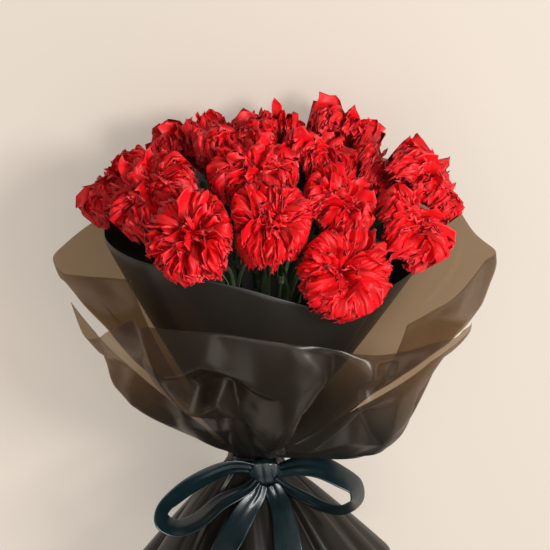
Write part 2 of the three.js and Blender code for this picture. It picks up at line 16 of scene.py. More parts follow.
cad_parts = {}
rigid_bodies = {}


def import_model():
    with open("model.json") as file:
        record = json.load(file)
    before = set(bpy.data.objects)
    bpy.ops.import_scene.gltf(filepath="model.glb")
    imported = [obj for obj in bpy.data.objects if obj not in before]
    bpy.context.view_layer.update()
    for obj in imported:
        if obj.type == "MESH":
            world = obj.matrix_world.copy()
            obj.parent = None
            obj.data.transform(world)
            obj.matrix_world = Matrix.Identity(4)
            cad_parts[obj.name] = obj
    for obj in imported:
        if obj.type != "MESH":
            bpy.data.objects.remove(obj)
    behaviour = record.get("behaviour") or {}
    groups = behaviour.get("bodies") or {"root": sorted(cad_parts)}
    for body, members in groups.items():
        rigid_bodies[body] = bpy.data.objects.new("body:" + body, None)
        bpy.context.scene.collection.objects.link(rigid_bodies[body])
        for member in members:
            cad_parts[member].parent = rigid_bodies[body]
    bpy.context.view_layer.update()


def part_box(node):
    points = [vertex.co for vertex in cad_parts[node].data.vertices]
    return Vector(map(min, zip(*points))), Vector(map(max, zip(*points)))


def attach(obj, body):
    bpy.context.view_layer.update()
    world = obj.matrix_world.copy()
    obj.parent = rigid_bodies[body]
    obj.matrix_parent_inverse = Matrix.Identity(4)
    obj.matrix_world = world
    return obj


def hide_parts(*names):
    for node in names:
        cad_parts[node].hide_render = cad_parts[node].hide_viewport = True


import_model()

bl_info = {
    "name": "Carnation bunch",
    "version": (1, 0, 0),
    "blender": (4, 5, 0),
    "location": "View3D > Sidebar > Carnations",
    "description": "Builds a wrapped bunch of carnations around its CAD frame",
    "category": "Add Mesh",
}

# ------------------------------------------------------------------ places

MM = 0.001
PHASE_TURN = 6.28               # radians that random phases are spread over
TIE = [(low + high) / 2 for low, high in zip(*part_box("stem_binding"))]
BACK_DEPTH = TIE[2] / MM

# Turn about the axis (0 right, 90 back, 180 left, 270 front), reach and height.
BLOOMS = [
    (169, 109, 238), (213, 92, 257), (130, 79, 259), (123, 24, 275), (78, 84, 258),
    (273, 40, 268), (248, 118, 246), (277, 96, 250), (16, 53, 264), (46, 103, 264),
    (20, 104, 244), (0, 137, 249), (324, 84, 246), (340, 129, 230), (302, 129, 217),
]
BLOOM_RADIUS = 37
BLOOM_CROWN = 23
BLOOM_ROOT = 23
BLOOM_SPREAD = 2.5              # how far petals may stand past the radius
SQUEEZE_FROM = 0.35             # of the way to the plane between two heads, where they give
CALYX_LENGTH = 27
STEM_RADIUS = 2
STEM_TAIL = 118
KNEE = 26
BUNDLE_SHARE = 0.075
STEM_ROOM = 1.22
TWIST = 70
CLEARANCE = 0.3
LEAF_DROP = 30
LEAF_THICKNESS = 0.45
SETTLING_ROUNDS = 260          # how often the stems give way to each other
AIM = np.array([10.0, 0.0, 140.0])             # where the heads' axes meet
STEM_LEVELS = np.array([-1, -0.72, -0.46, -0.22, 0, 0.22, 0.46, 0.72, 0.98]) * STEM_TAIL
TIE_LEVEL = 4                   # the tie's place among the levels
STEM_SIDES = 14
TIE_BAND = 14
NECK_HALF = 12.0
SKIRT_ROWS = 44
NECK_ROWS = 7
COLLAR_LIFT = 6.3               # least room under the collar, the film, and the film's lap
FILM_LIFT = 0.5
LAP_LIFT = 2.8
LAP_END = 104                   # the turn up to which the right film lies under the left
FLOOR_GAP = 0.05
UV_RADIUS = 120                 # where the width of a sheet is measured for its UV
RIBBON_AIR = 1.6                # least room between the wrap and the ribbon
LAYER = 1.15
SKIRT_DEPTH = 132
SKIRT_RADIUS = 110
SKIRT_SIDE = 12
PLEATS = 11
PLEAT_DEPTH = 7.0
AIR = 0.9                       # least room between one sheet and the next

# Turn, belly radius and height, rim radius and height, and the pull at the belly, which is
# 0.5 where it isn't given.
COLLAR = [
    (0, 92, 112, 148, 214), (30, 90, 112, 138, 236), (60, 84, 112, 130, 244),
    (90, 80, 112, 118, 243), (120, 82, 112, 128, 240), (150, 84, 118, 131, 228),
    (180, 86, 124, 125, 213), (200, 84, 124, 124, 215), (233, 84, 120, 119, 217),
    (250, 82, 118, 116, 213), (265, 82, 116, 115, 209), (284, 84, 112, 120, 197),
    (305, 90, 108, 127, 183), (323, 94, 108, 135, 194), (344, 94, 110, 148, 200),
    (360, 92, 112, 148, 214),
]
COLLAR_START = 300
COLLAR_TURN = 380
COLLAR_COLUMNS = 22
COLLAR_CREEP = 2.6
NECK_CREEP = 1.2
LEFT = [
    (80, 129, 96, 130, 226, 1.6), (92, 127, 98, 128, 226, 1.6),
    (106, 132, 100, 133, 222, 1.5), (120, 142, 98, 148, 212, 1.4),
    (134, 116, 94, 158, 203, 1), (147, 108, 92, 157, 196, 0.9),
    (158, 102, 92, 163, 190, 0.8), (166, 100, 92, 169, 185, 0.7),
    (174, 100, 94, 174, 181, 0.6), (185, 102, 98, 163, 180, 0.7),
    (194, 102, 104, 150, 186, 0.9), (205, 102, 108, 134, 192, 1),
    (217, 102, 112, 126, 198, 1),
]
RIGHT = [
    (317, 144, 92, 170, 175, 1.4), (326, 146, 94, 174, 178, 1.4),
    (335, 150, 96, 180, 180, 1.4), (346, 160, 100, 186, 185, 1.6),
    (356, 172, 106, 196, 190, 1.9), (363, 180, 110, 208, 188, 2.1),
    (370, 178, 110, 202, 190, 2.0), (377, 166, 108, 190, 201, 1.7),
    (384, 154, 104, 189, 212, 1.3), (396, 140, 100, 184, 222, 1.2),
    (411, 148, 98, 164, 238, 1.5), (428, 136, 96, 139, 238, 1.6),
    (442, 128, 96, 130, 234, 1.6), (456, 128, 96, 130, 230, 1.6),
]
FRONT = [
    (184, 124, 100, 157, 151, 1.8), (190, 124, 94, 147, 126, 2.2),
    (198, 120, 88, 139, 132, 2.4), (208, 122, 84, 140, 146, 2.0),
    (222, 116, 74, 142, 168, 1.5), (234, 130, 82, 146, 177, 1.5),
    (247, 108, 66, 148, 181, 1.5), (259, 130, 76, 150, 182, 1.5),
    (271, 106, 56, 151, 178, 1.5), (283, 132, 66, 154, 173, 1.5),
    (295, 114, 48, 159, 166, 1.6), (306, 138, 54, 162, 157, 1.8),
    (318, 134, 34, 168, 153, 2.6), (330, 141, 37, 176, 150, 4.2),
    (344, 144, 66, 182, 141, 2.8), (355, 147, 82, 182, 134, 2.2),
]

LEFT_LOOP = [
    (-3, -31, 3), (-20, -36, 6), (-42, -41, -1), (-64, -44, -14), (-78, -46, -29),
    (-79, -46, -41), (-69, -46, -47), (-50, -48, -40), (-28, -47, -21), (-5, -40, -11),
]
RIGHT_LOOP = [
    (22, -30, 1), (36, -35, 7), (54, -38, 8), (72, -40, 1), (88, -40, -10),
    (89, -40, -24), (78, -40, -33), (60, -40, -31), (42, -39, -22), (24, -36, -11),
]
LEFT_TAIL = [(2, -40, -19), (-6, -48, -28), (-20, -64, -46), (-34, -82, -68), (-44, -96, -88)]
RIGHT_TAIL = [(19, -40, -20), (24, -52, -30), (29, -72, -52), (33, -94, -78), (36, -112, -102)]

KNOT_LOW, KNOT_HIGH = (np.array(corner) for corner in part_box("ribbon_knot"))
KNOT_SIZE = (KNOT_HIGH - KNOT_LOW) / MM
KNOT_AT = (KNOT_LOW + KNOT_HIGH) / 2 - TIE
KNOT = np.array([KNOT_AT[0], -KNOT_AT[2], KNOT_AT[1]]) / MM
KNOT_FULLNESS = np.array([1.4, 1, 1.45])      # how much bigger than its node it is drawn
KNOT_REACH = 0.45                             # of the way to its middle, run by each strip
OPEN_SIDE = np.array([0.0, -0.93, 0.37])      # where the bow's broad faces look


# ------------------------------------------------------------------ maths

def lay_down(points):
    """Points of the bunch's own frame, in millimetres, as row-frame metres."""
    p = np.asarray(points, float)
    turned_down = (p[..., 0] * MM + TIE[0], p[..., 2] * MM + TIE[1], TIE[2] - p[..., 1] * MM)
    return np.stack(turned_down, -1)


def turned(degrees, radius, z):
    a = np.radians(degrees)
    return np.stack(np.broadcast_arrays(np.cos(a) * radius, np.sin(a) * radius, z), -1)


def about_z(angle):
    c, s = math.cos(angle), math.sin(angle)
    return np.array([[c, -s, 0], [s, c, 0], [0, 0, 1]])


def unit(v):
    v = np.asarray(v, float)
    return v / np.maximum(np.linalg.norm(v, axis=-1, keepdims=True), 1e-9)


def run_along(points):
    """The distance from the first point to each one."""
    return np.concatenate([[0], np.cumsum(np.linalg.norm(np.diff(points, axis=0), axis=1))])


def smooth(x, low=0.0, high=1.0):
    t = np.clip((np.asarray(x, float) - low) / (high - low), 0, 1)
    return t * t * (3 - 2 * t)


def upright(axis):
    """The shortest turn from +z to axis, as a matrix."""
    turn = Vector((0, 0, 1)).rotation_difference(Vector(axis))
    return np.array(turn.to_matrix())


def centripetal(points, count):
    """count points, evenly spaced, on the centripetal Catmull-Rom curve through points."""
    p = np.asarray(points, float)
    p = np.vstack([2 * p[0] - p[1], p, 2 * p[-1] - p[-2]])
    fine = []
    for k in range(1, len(p) - 2):
        a, b, c, d = p[k - 1:k + 3]
        t1 = np.linalg.norm(b - a) ** 0.5
        t2 = t1 + np.linalg.norm(c - b) ** 0.5
        t3 = t2 + np.linalg.norm(d - c) ** 0.5
        t = np.linspace(t1, t2, 40, endpoint=False)[:, None]
        e = a + (b - a) * t / t1
        f = b + (c - b) * (t - t1) / (t2 - t1)
        g = c + (d - c) * (t - t2) / (t3 - t2)
        h = e + (f - e) * t / t2
        i = f + (g - f) * (t - t1) / (t3 - t1)
        fine.append(h + (i - h) * (t - t1) / (t2 - t1))
    fine = np.vstack([*fine, p[-2:-1]])
    run = run_along(fine)
    even = np.linspace(0, run[-1], count)
    return np.stack([np.interp(even, run, fine[:, k]) for k in range(3)], 1)


def through(values, at):
    """Smooth values at fractional places of a list, by Catmull-Rom."""
    v = np.asarray(values, float)
    v = np.concatenate([2 * v[:1] - v[1:2], v, 2 * v[-1:] - v[-2:-1]])
    k = np.clip(np.floor(at).astype(int), 0, len(values) - 2)
    t = (at - k).reshape((-1,) + (1,) * (v.ndim - 1))
    a, b, c, d = v[k], v[k + 1], v[k + 2], v[k + 3]
    squared, cubed = 2 * a - 5 * b + 4 * c - d, 3 * b - a - 3 * c + d
    return 0.5 * (2 * b + (c - a) * t + squared * t ** 2 + cubed * t ** 3)


# ------------------------------------------------------------------ meshes

def placed(name, data):
    """A new object in the scene."""
    thing = bpy.data.objects.new(name, data)
    bpy.context.scene.collection.objects.link(thing)
    return thing


def piece_from(name, points, faces, uv=None):
    """A mesh object from points in millimetres and faces as lists of their numbers."""
    mesh = bpy.data.meshes.new(name)
    mesh.from_pydata(lay_down(points).tolist(), [], faces)
    if uv is not None:
        layer = mesh.uv_layers.new(name="UVMap")
        loops = np.empty(len(mesh.loops), int)
        mesh.loops.foreach_get("vertex_index", loops)
        layer.data.foreach_set("uv", np.asarray(uv, np.float32)[loops].ravel())
    mesh.shade_smooth()
    mesh.update()
    return placed(name, mesh)


def sheet_from(name, points, faces, across, along):
    """A closed sheet's object, with UV from the millimetres across and along it."""
    uv = np.stack(np.broadcast_arrays(across, along), -1).reshape(-1, 2) * MM
    return piece_from(name, points, faces.tolist(), np.vstack([uv, uv]))


def mark(mesh, name, values):
    """Gives both skins of a closed sheet a value at each point, as an attribute."""
    attribute = mesh.attributes.new(name, "FLOAT", "POINT")
    attribute.data.foreach_set("value", np.tile(values.ravel(), 2).astype(np.float32))


def grid_quads(columns, rows, wrap=False):
    """Faces over a grid of points that is stored column by column."""
    across = np.arange(columns if wrap else columns - 1)
    c, r = (part.ravel() for part in np.meshgrid(across, np.arange(rows - 1), indexing="ij"))
    n = (c + 1) % columns
    return np.stack([c * rows + r, n * rows + r, n * rows + r + 1, c * rows + r + 1], 1)


def capped_quads(columns, rows):
    """Faces of a tube over such a grid, with both ends closed."""
    faces = grid_quads(columns, rows, wrap=True).tolist()
    faces.append([k * rows for k in range(columns)][::-1])
    faces.append([(k + 1) * rows - 1 for k in range(columns)])
    return faces


def grid_normals(grid):
    across = np.gradient(grid, axis=0)
    along = np.gradient(grid, axis=1)
    return unit(np.cross(across, along))


def closed_sheet(grid, thickness):
    """Points and faces of a thin closed shell over grid[column][row]."""
    columns, rows = grid.shape[:2]
    half = np.asarray(thickness, float)[..., None] / 2
    normals = grid_normals(grid) * half
    outer, inner = (grid + normals).reshape(-1, 3), (grid - normals).reshape(-1, 3)
    faces = grid_quads(columns, rows)
    count = columns * rows
    ids = np.arange(count).reshape(columns, rows)
    edge = np.concatenate([ids[:, 0], ids[-1, 1:], ids[-2::-1, -1], ids[0, -2:0:-1]])
    after = np.roll(edge, -1)
    rim = np.stack([edge, edge + count, after + count, after], 1)
    return np.vstack([outer, inner]), np.vstack([faces, faces[:, ::-1] + count, rim])


def tube(path, radii, sides):
    """Points and faces of a closed tube with a radius at each point of its path."""
    path = np.asarray(path, float)
    along = unit(np.gradient(path, axis=0))
    side = unit(np.cross(along[0], (0.3, 1, 0.2)))
    rings = []
    turn = np.arange(sides) / sides * 2 * math.pi
    for p, d, r in zip(path, along, radii):
        side = unit(side - d * np.dot(side, d))
        other = np.cross(d, side)
        rings.append(p + (np.cos(turn)[:, None] * side + np.sin(turn)[:, None] * other) * r)
    rings = np.array(rings).transpose(1, 0, 2)
    return rings.reshape(-1, 3), capped_quads(sides, len(path))


def joined(parts):
    """Several (points, faces) as one, faces as lists."""
    points, faces, first = [], [], 0
    for p, f in parts:
        points.append(np.asarray(p, float))
        faces.extend([[int(i) + first for i in face] for face in f])
        first += len(p)
    return np.vstack(points), faces


def flush(piece):
    """Makes an object's evaluated shape its plain mesh, and drops its modifiers."""
    depsgraph = bpy.context.evaluated_depsgraph_get()
    depsgraph.update()
    mesh = bpy.data.meshes.new_from_object(piece.evaluated_get(depsgraph))
    mesh.name = piece.name
    piece.modifiers.clear()
    piece.data = mesh
    return piece


def settle(piece, slot, *nodes):
    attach(piece, "root")
    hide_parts(*nodes)
    return piece


# ------------------------------------------------------------------ node trees

def add(tree, kind, x=0, y=0, inputs=None, **settings):
    """A new node. inputs holds a value, or a socket to link, for each of its sockets."""
    node = tree.nodes.new(kind)
    node.location = (x, y)
    for key, value in settings.items():
        setattr(node, key, value)
    for key, value in (inputs or {}).items():
        feed(tree, node.inputs[key], value)
    return node


def link(tree, a, b):
    tree.links.new(a, b)


def feed(tree, socket, value):
    if isinstance(value, bpy.types.NodeSocket):
        link(tree, value, socket)
    else:
        socket.default_value = value


def made_tree(name, inputs):
    """A Geometry Nodes tree that gives geometry, and the sockets of its named inputs."""
    tree = bpy.data.node_groups.new(name, "GeometryNodeTree")
    face = tree.interface
    face.new_socket("Geometry", in_out="OUTPUT", socket_type="NodeSocketGeometry")
    for label, kind in inputs.items():
        face.new_socket(label, in_out="INPUT", socket_type=f"NodeSocket{kind}")
    return tree, add(tree, "NodeGroupInput").outputs


def end_tree(tree, geometry, material):
    """Sets the material and gives the geometry out."""
    finish = add(tree, "GeometryNodeSetMaterial", inputs={"Geometry": geometry, "Material": material})
    add(tree, "NodeGroupOutput", inputs={0: finish.outputs[0]})
    return tree


def plain_material(name, **shader):
    """A material with its Principled shader, whose sockets are set by name."""
    material = bpy.data.materials.new(name)
    material.use_nodes = True
    tree = material.node_tree
    principled = tree.nodes["Principled BSDF"]
    for key, value in shader.items():
        principled.inputs[key.replace("_", " ")].default_value = value
    return material, tree, principled


def ramp(tree, factor, stops, x=0, y=0):
    node = add(tree, "ShaderNodeValToRGB", x, y)
    elements = node.color_ramp.elements
    while len(elements) < len(stops):
        elements.new(0.5)
    for element, (place, color) in zip(elements, stops):
        element.position = place
        element.color = (*color, 1)
    link(tree, factor, node.inputs["Fac"])
    return node.outputs["Color"]


def noise(tree, scale, detail=3, rough=0.5, stretch=None, x=-800, y=0):
    """Noise on Object coordinates, stretched if asked. Scale is per metre."""
    source = add(tree, "ShaderNodeTexCoord", x - 400, y).outputs["Object"]
    if stretch:
        inputs = {"Scale": stretch, "Vector": source}
        source = add(tree, "ShaderNodeMapping", x - 200, y, inputs).outputs["Vector"]
    inputs = {"Scale": scale, "Detail": detail, "Roughness": rough, "Vector": source}
    return add(tree, "ShaderNodeTexNoise", x, y, inputs).outputs["Fac"]


def bump(tree, principled, height, strength, distance):
    inputs = {"Strength": strength, "Distance": distance, "Height": height}
    node = add(tree, "ShaderNodeBump", -200, -400, inputs)
    link(tree, node.outputs["Normal"], principled.inputs["Normal"])


def mixed(tree, factor, first, second, x=-300, y=200):
    """first where factor is 0 and second where it is 1. Colours have four values."""
    node = add(tree, "ShaderNodeMix", x, y, {"Factor": factor}, data_type="RGBA")
    ends = [s for s in node.inputs if s.type == "RGBA"]
    for socket, value in zip(ends, (first, second)):
        feed(tree, socket, value)
    return [s for s in node.outputs if s.type == "RGBA"][0]


# ------------------------------------------------------------------ stems

def settled_stems():
    """Each stem's middle line and the place of its calyx. The stems are drawn together at
    the tie and give way to each other, level by level."""
    heels, lines = [], []
    for turn, reach, height in BLOOMS:
        centre = turned(turn, reach, height)
        axis = unit(centre - AIM)
        mouth = centre - axis * (BLOOM_ROOT + CLEARANCE)
        foot = mouth - axis * CALYX_LENGTH
        knee = foot - axis * KNEE
        tie = turned(turn - TWIST, reach * BUNDLE_SHARE, 0)
        heels.append((centre, axis, mouth, foot, knee))
        lines.append([tie + (knee - tie) * h / (knee - tie)[2] for h in STEM_LEVELS])
    lines = np.array(lines)
    knees = np.array([h[4] for h in heels])
    room = STEM_RADIUS * 2 * STEM_ROOM + CLEARANCE
    for k in range(SETTLING_ROUNDS):
        easing = 0.25 if k < SETTLING_ROUNDS * 0.75 else 0.04
        for level in range(len(STEM_LEVELS)):
            flat = lines[:, level, :2]
            if level == TIE_LEVEL:
                flat *= 0.98
            for i in range(len(lines)):
                for j in range(i + 1, len(lines)):
                    apart = flat[i] - flat[j]
                    distance = max(math.hypot(apart[0], apart[1]), 1e-3)
                    if distance < room:
                        push = apart * ((room - distance) / distance / 2)
                        flat[i] += push
                        flat[j] -= push
        for level in range(1, len(STEM_LEVELS)):
            above = lines[:, level + 1] if level + 1 < len(STEM_LEVELS) else knees
            below = lines[:, level - 1]
            share = ((lines[:, level, 2] - below[:, 2]) / (above[:, 2] - below[:, 2]))[:, None]
            straight = below + (above - below) * share
            lines[:, level, :2] += (straight - lines[:, level])[:, :2] * easing
    stems = []
    for (centre, axis, mouth, foot, knee), line in zip(heels, lines):
        path = centripetal([*line, knee, foot, foot + (mouth - foot) * 0.3], 400)
        stems.append({"centre": centre, "axis": axis, "mouth": mouth, "foot": foot, "path": path})
    return stems


def calyx_parts(stem, index):
    """A ribbed green cup with five teeth, and the scales at its foot."""
    rng = np.random.default_rng(100 + index)
    turn = upright(stem["axis"])
    around, up = 60, 26
    a = np.arange(around) / around * 2 * math.pi
    t = np.linspace(0, 1, up)
    profile = np.interp(t, [0, 0.04, 0.16, 0.5, 0.85, 1], [2.1, 3.2, 4.7, 6.2, 7.0, 7.6])
    phase = rng.uniform(0, PHASE_TURN)
    teeth = 1 - 0.13 * (0.5 - 0.5 * np.cos(5 * (a + phase))) ** 0.8
    grid = np.empty((around + 1, up, 3))
    for k in range(around + 1):
        angle = a[k % around]
        ribs = 1 + 0.018 * math.cos(20 * angle)
        height = t * CALYX_LENGTH * (1 - (1 - teeth[k % around]) * t ** 3)
        grid[k, :, 0] = np.cos(angle) * profile * ribs
        grid[k, :, 1] = np.sin(angle) * profile * ribs
        grid[k, :, 2] = height
    parts = [closed_sheet(grid, 0.5)]
    for k in range(4):
        parts.append(scale_leaf(k * math.pi / 2 + phase, 10, 4.2))
    return [(p @ turn.T + stem["foot"], f) for p, f in parts]


def scale_leaf(angle, length, width):
    u, v = np.meshgrid(np.linspace(-1, 1, 7), np.linspace(0, 1, 8), indexing="ij")
    half = width * np.sqrt(np.maximum(0, 1 - v)) * (0.75 + 0.5 * v) * u / 2
    out = 2.4 + 3.0 * smooth(v, 0, 0.5) + 0.9 * v
    grid = np.stack([out * np.cos(half / 5), out * np.sin(half / 5), v * length], -1)
    points, faces = closed_sheet(grid, LEAF_THICKNESS)
    return points @ about_z(angle).T, faces


def stem_piece(stem, index, radius):
    path = stem["path"][::3]
    run = np.linspace(0, 1, len(path))
    joints = [0.14, 0.4, 0.63, 0.83]
    radii = radius * (0.9 + 0.12 * (1 - run))
    for place in joints:
        radii = radii + 0.42 * radius / 2 * np.exp(-((run - place) / 0.007) ** 2)
    radii[0] *= 0.94
    return piece_from(f"Stem_{index + 1}", *joined([tube(path, radii, STEM_SIDES), *calyx_parts(stem, index)]))


def leaf_blades(stem, index):
    """Two narrow channelled blades from one sheath, as far up the stem as the joint."""
    path = stem["path"]
    run = run_along(path)
    place = run[-1] - (CALYX_LENGTH * 0.3 + KNEE + LEAF_DROP)
    at, ahead, behind = (
        np.array([np.interp(place + step, run, path[:, k]) for k in range(3)]) for step in (0, 3.5, 3.3))
    turn = upright(unit(ahead - behind)) @ about_z(index * 1.1)
    around, inside = 24, STEM_RADIUS + 0.5
    a = np.arange(around + 1) / around * 2 * math.pi
    z = np.linspace(0, 7, 5)
    out = inside + 0.4
    sheath = np.stack(np.broadcast_arrays(np.cos(a)[:, None] * out, np.sin(a)[:, None] * out, z), -1)
    parts = [closed_sheet(sheath, 0.7)]
    u, t = np.meshgrid(np.linspace(-1, 1, 9), np.linspace(0, 1, 30), indexing="ij")
    for side in (1, -1):
        half = 3.0 * (1 - 0.85 * t * t) * smooth(1 - t, 0, 0.05)
        out = inside + 0.5 + 13 * t * t + 1.5 * t - 0.5 * np.abs(u) ** 1.5
        out = out + 0.35 * np.sin(t * 9 + index) * t
        blade = np.stack([out * side, half * u * side, 3.5 + 46 * t * (1 - 0.18 * t)], -1)
        parts.append(closed_sheet(blade, LEAF_THICKNESS))
    return piece_from(f"Leaf_pair_{index + 1}", *joined([(p @ turn.T + at, f) for p, f in parts]))


# ------------------------------------------------------------------ blooms

STOCK = 24                      # petal shapes, from the outermost to the innermost
GOLDEN_ANGLE = 2.399963
HEAD_TURN = 47                  # degrees that each head is spun from the last


def petal_spine(polar, arch, curl, spread):
    """A petal's middle line in its own upright plane, from the mouth to the crown, and the
    share at each of its points. polar is the place on the crown, 0 at the top."""
    v = np.linspace(0, 1, 60)
    angle = polar * arch * smooth(v, 0.12, 1.05) ** 0.9 + curl * smooth(v, 0.6, 1.0) ** 1.5
    x = np.concatenate([[0], np.cumsum(np.sin((angle[1:] + angle[:-1]) / 2))]) / 59
    z = np.concatenate([[0], np.cumsum(np.cos((angle[1:] + angle[:-1]) / 2))]) / 59
    crown = max(math.cos(polar), -0.42)
    target = np.array([
        BLOOM_RADIUS * 1.05 * math.sin(polar), BLOOM_CROWN * 1.05 * crown + BLOOM_ROOT]) * spread
    length = float(np.linalg.norm(target) / math.hypot(x[-1], z[-1]))
    lean = math.atan2(target[0], target[1]) - math.atan2(x[-1], z[-1])
    c, s = math.cos(lean), math.sin(lean)
    line = np.stack([x * c + z * s, z * c - x * s], 1) * length
    return v, line


def petal(name, rank, rng):
    """One ruffled blade with a toothed edge, on a narrow claw. rank is 0 outside, 1 inside."""
    polar = math.acos(-0.30 + (0.985 + 0.30) * rank)
    v_line, line = petal_spine(polar, rng.uniform(1.1, 1.5), rng.uniform(0.0, 1.4), rng.uniform(0.9, 1.02))
    columns, rows = 31, 10
    u, v = np.meshgrid(np.linspace(-1, 1, columns), np.linspace(0, 1, rows) ** 0.75, indexing="ij")
    width = (16.5 - 5.0 * rank) * rng.uniform(0.85, 1.15)
    half = 1.2 + (width - 1.2) * smooth(v, 0.15, 0.88) ** 1.1
    phase = rng.uniform(0, PHASE_TURN, 4)
    tooth = np.where(np.arange(columns) % 2 == 0, 1.0, 0.0) * rng.uniform(0.3, 1, columns)
    lobe = 0.05 * np.sin(u * math.pi * 1.4 + phase[3]) * v ** 2
    edge = 1.0 - 0.15 * u ** 2 + lobe - (0.07 * tooth)[:, None] * v ** 6
    s = np.clip(v * edge, 0, 1.05)
    x, z = (np.interp(s, v_line, line[:, k]) for k in (0, 1))
    on, back = np.clip(s + 0.02, 0, 1), np.clip(s - 0.02, 0, 1)
    dx, dz = (np.interp(on, v_line, line[:, k]) - np.interp(back, v_line, line[:, k]) for k in (0, 1))
    run = np.hypot(dx, dz) + 1e-9
    nx, nz = dz / run, -dx / run
    slant = rng.uniform(-1, 1, 2)
    big = np.sin(u * math.pi * rng.uniform(1.2, 2.0) + phase[0] + slant[0] * 1.6 * v) * (4.2 + 1.4 * rank)
    middle = np.sin(u * math.pi * rng.uniform(3.0, 4.2) + phase[1] + slant[1] * 5 * v) * 2.6
    little = np.sin(u * math.pi * rng.uniform(6.5, 9.0) + phase[2] + slant[1] * 4 * v) * 1.2
    grow = smooth(v, 0.25, 1.0)
    ruffle = big * grow ** 1.2 + middle * smooth(v, 0.42, 1.0) ** 1.3 + little * smooth(v, 0.55, 1.0)
    cup = -(half * u) ** 2 * 0.007 * (1 - 0.3 * rank) + rank * np.abs(u) * half * 0.35 * grow
    twist = rng.uniform(-0.5, 0.5) * smooth(v, 0.2, 1.0)
    side = half * u * (1 - 0.12 * grow)
    out = ruffle + cup + side * np.sin(twist)
    sway = np.sin(v * 5 + phase[0]) * 0.8 * grow * (1 + rank)
    grid = np.stack([x + nx * out, side * np.cos(twist) + sway, z + nz * out], -1)
    points, faces = closed_sheet(grid, 0.34 - 0.16 * v)
    mesh = bpy.data.meshes.new(name)
    mesh.from_pydata((points * MM).tolist(), [], faces.tolist())
    mark(mesh, "blade", v)
    mark(mesh, "across", u)
    mesh.shade_smooth()
    return bpy.data.objects.new(name, mesh)


def petal_stock():
    """The petal shapes that every bloom draws on, in a collection of their own."""
    stock = bpy.data.collections.new("Petal stock")
    bpy.context.scene.collection.children.link(stock)
    rng = np.random.default_rng(7)
    for k in range(STOCK):
        stock.objects.link(petal(f"petal_{k:02d}", k / (STOCK - 1), rng))
    return stock


def bloom_tree():
    """Petals set round the mouth by the golden angle, outer ones first, then crumpled."""
    tree, given = made_tree("Petals in a head", {
        "Petals": "Int", "Seed": "Int", "Crumple": "Float", "Lean": "Float", "Stock": "Collection",
        "Finish": "Material"})

    def sum_of(operation, *values):
        return add(tree, "ShaderNodeMath", inputs=dict(enumerate(values)), operation=operation).outputs[0]

    def chance(low, high, salt):
        node = add(tree, "FunctionNodeRandomValue", data_type="FLOAT")
        floats = [s for s in node.inputs if s.type == "VALUE"]
        for socket, value in zip(floats, (low, high)):
            feed(tree, socket, value)
        link(tree, sum_of("MULTIPLY_ADD", given["Seed"], 7, salt), node.inputs["Seed"])
        return [s for s in node.outputs if s.type == "VALUE"][0]

    line = add(tree, "GeometryNodeMeshLine", inputs={"Offset": (0, 0, 0), "Count": given["Petals"]})
    index = add(tree, "GeometryNodeInputIndex").outputs[0]
    share = sum_of("DIVIDE", index, sum_of("SUBTRACT", given["Petals"], 1))
    rank = sum_of("ADD", sum_of("MULTIPLY", share, STOCK - 1), chance(-0.9, 0.9, 1))
    pick = sum_of("ROUND", sum_of("MINIMUM", sum_of("MAXIMUM", rank, 0), STOCK - 1))
    spin = sum_of("ADD", sum_of("MULTIPLY", index, GOLDEN_ANGLE), chance(-0.3, 0.3, 2))
    tilt = sum_of("MULTIPLY", given["Lean"], sum_of("ADD", sum_of("POWER", share, 3), 0.35))
    away = sum_of("MULTIPLY", tilt, -1)
    turn = add(tree, "ShaderNodeCombineXYZ", inputs={
        0: chance(away, tilt, 3), 1: chance(away, tilt, 4), 2: spin})
    stock = add(tree, "GeometryNodeCollectionInfo", inputs={
        "Separate Children": True, "Reset Children": True, "Collection": given["Stock"]})
    place = add(tree, "GeometryNodeInstanceOnPoints", inputs={
        "Pick Instance": True, "Points": line.outputs[0], "Instance": stock.outputs[0],
        "Instance Index": pick, "Rotation": turn.outputs[0], "Scale": chance(0.95, 1.05, 5)})
    real = add(tree, "GeometryNodeRealizeInstances", inputs={0: place.outputs[0]})
    grain = add(tree, "ShaderNodeTexNoise", noise_dimensions="4D", inputs={
        "Scale": 135, "Detail": 2, "W": given["Seed"]})
    middle = add(tree, "ShaderNodeVectorMath", operation="SUBTRACT", inputs={
        0: grain.outputs["Color"], 1: (0.5, 0.5, 0.5)})
    blade = add(tree, "GeometryNodeInputNamedAttribute", data_type="FLOAT", inputs={"Name": "blade"})
    outwards = [s for s in blade.outputs if s.type == "VALUE"][0]
    amount = sum_of("MULTIPLY", given["Crumple"], sum_of("POWER", outwards, 1.5))
    push = add(tree, "ShaderNodeVectorMath", operation="SCALE", inputs={0: middle.outputs[0], "Scale": amount})
    crumpled = add(tree, "GeometryNodeSetPosition", inputs={
        "Geometry": real.outputs[0], "Offset": push.outputs[0]})
    return end_tree(tree, crumpled.outputs[0], given["Finish"])


def grown(name, tree, **inputs):
    """A plain mesh made by a node tree, whose inputs are set by socket identifier."""
    piece = placed(name, bpy.data.meshes.new(name))
    modifier = piece.modifiers.new("Made", "NODES")
    modifier.node_group = tree
    for item in tree.interface.items_tree:
        if item.in_out == "INPUT" and item.name in inputs:
            modifier[item.identifier] = inputs[item.name]
    return flush(piece)


def squeezed(points, index, centres):
    """A head's points, in the bunch's frame, pressed back where a neighbour leans on it."""
    centre = centres[index]
    for k, other in enumerate(centres):
        if k == index:
            continue
        away = other - centre
        apart = float(np.linalg.norm(away))
        reach = apart / 2 - 0.15
        if reach > BLOOM_RADIUS * 1.12:
            continue
        away = away / apart
        depth = (points - centre) @ away
        free = reach * SQUEEZE_FROM
        give = min(1.0, (reach - free) / (BLOOM_RADIUS + 2 - free))
        wanted = (depth - free) * give
        points = points + ((free + wanted - depth) * (depth > free))[:, None] * away
    return points


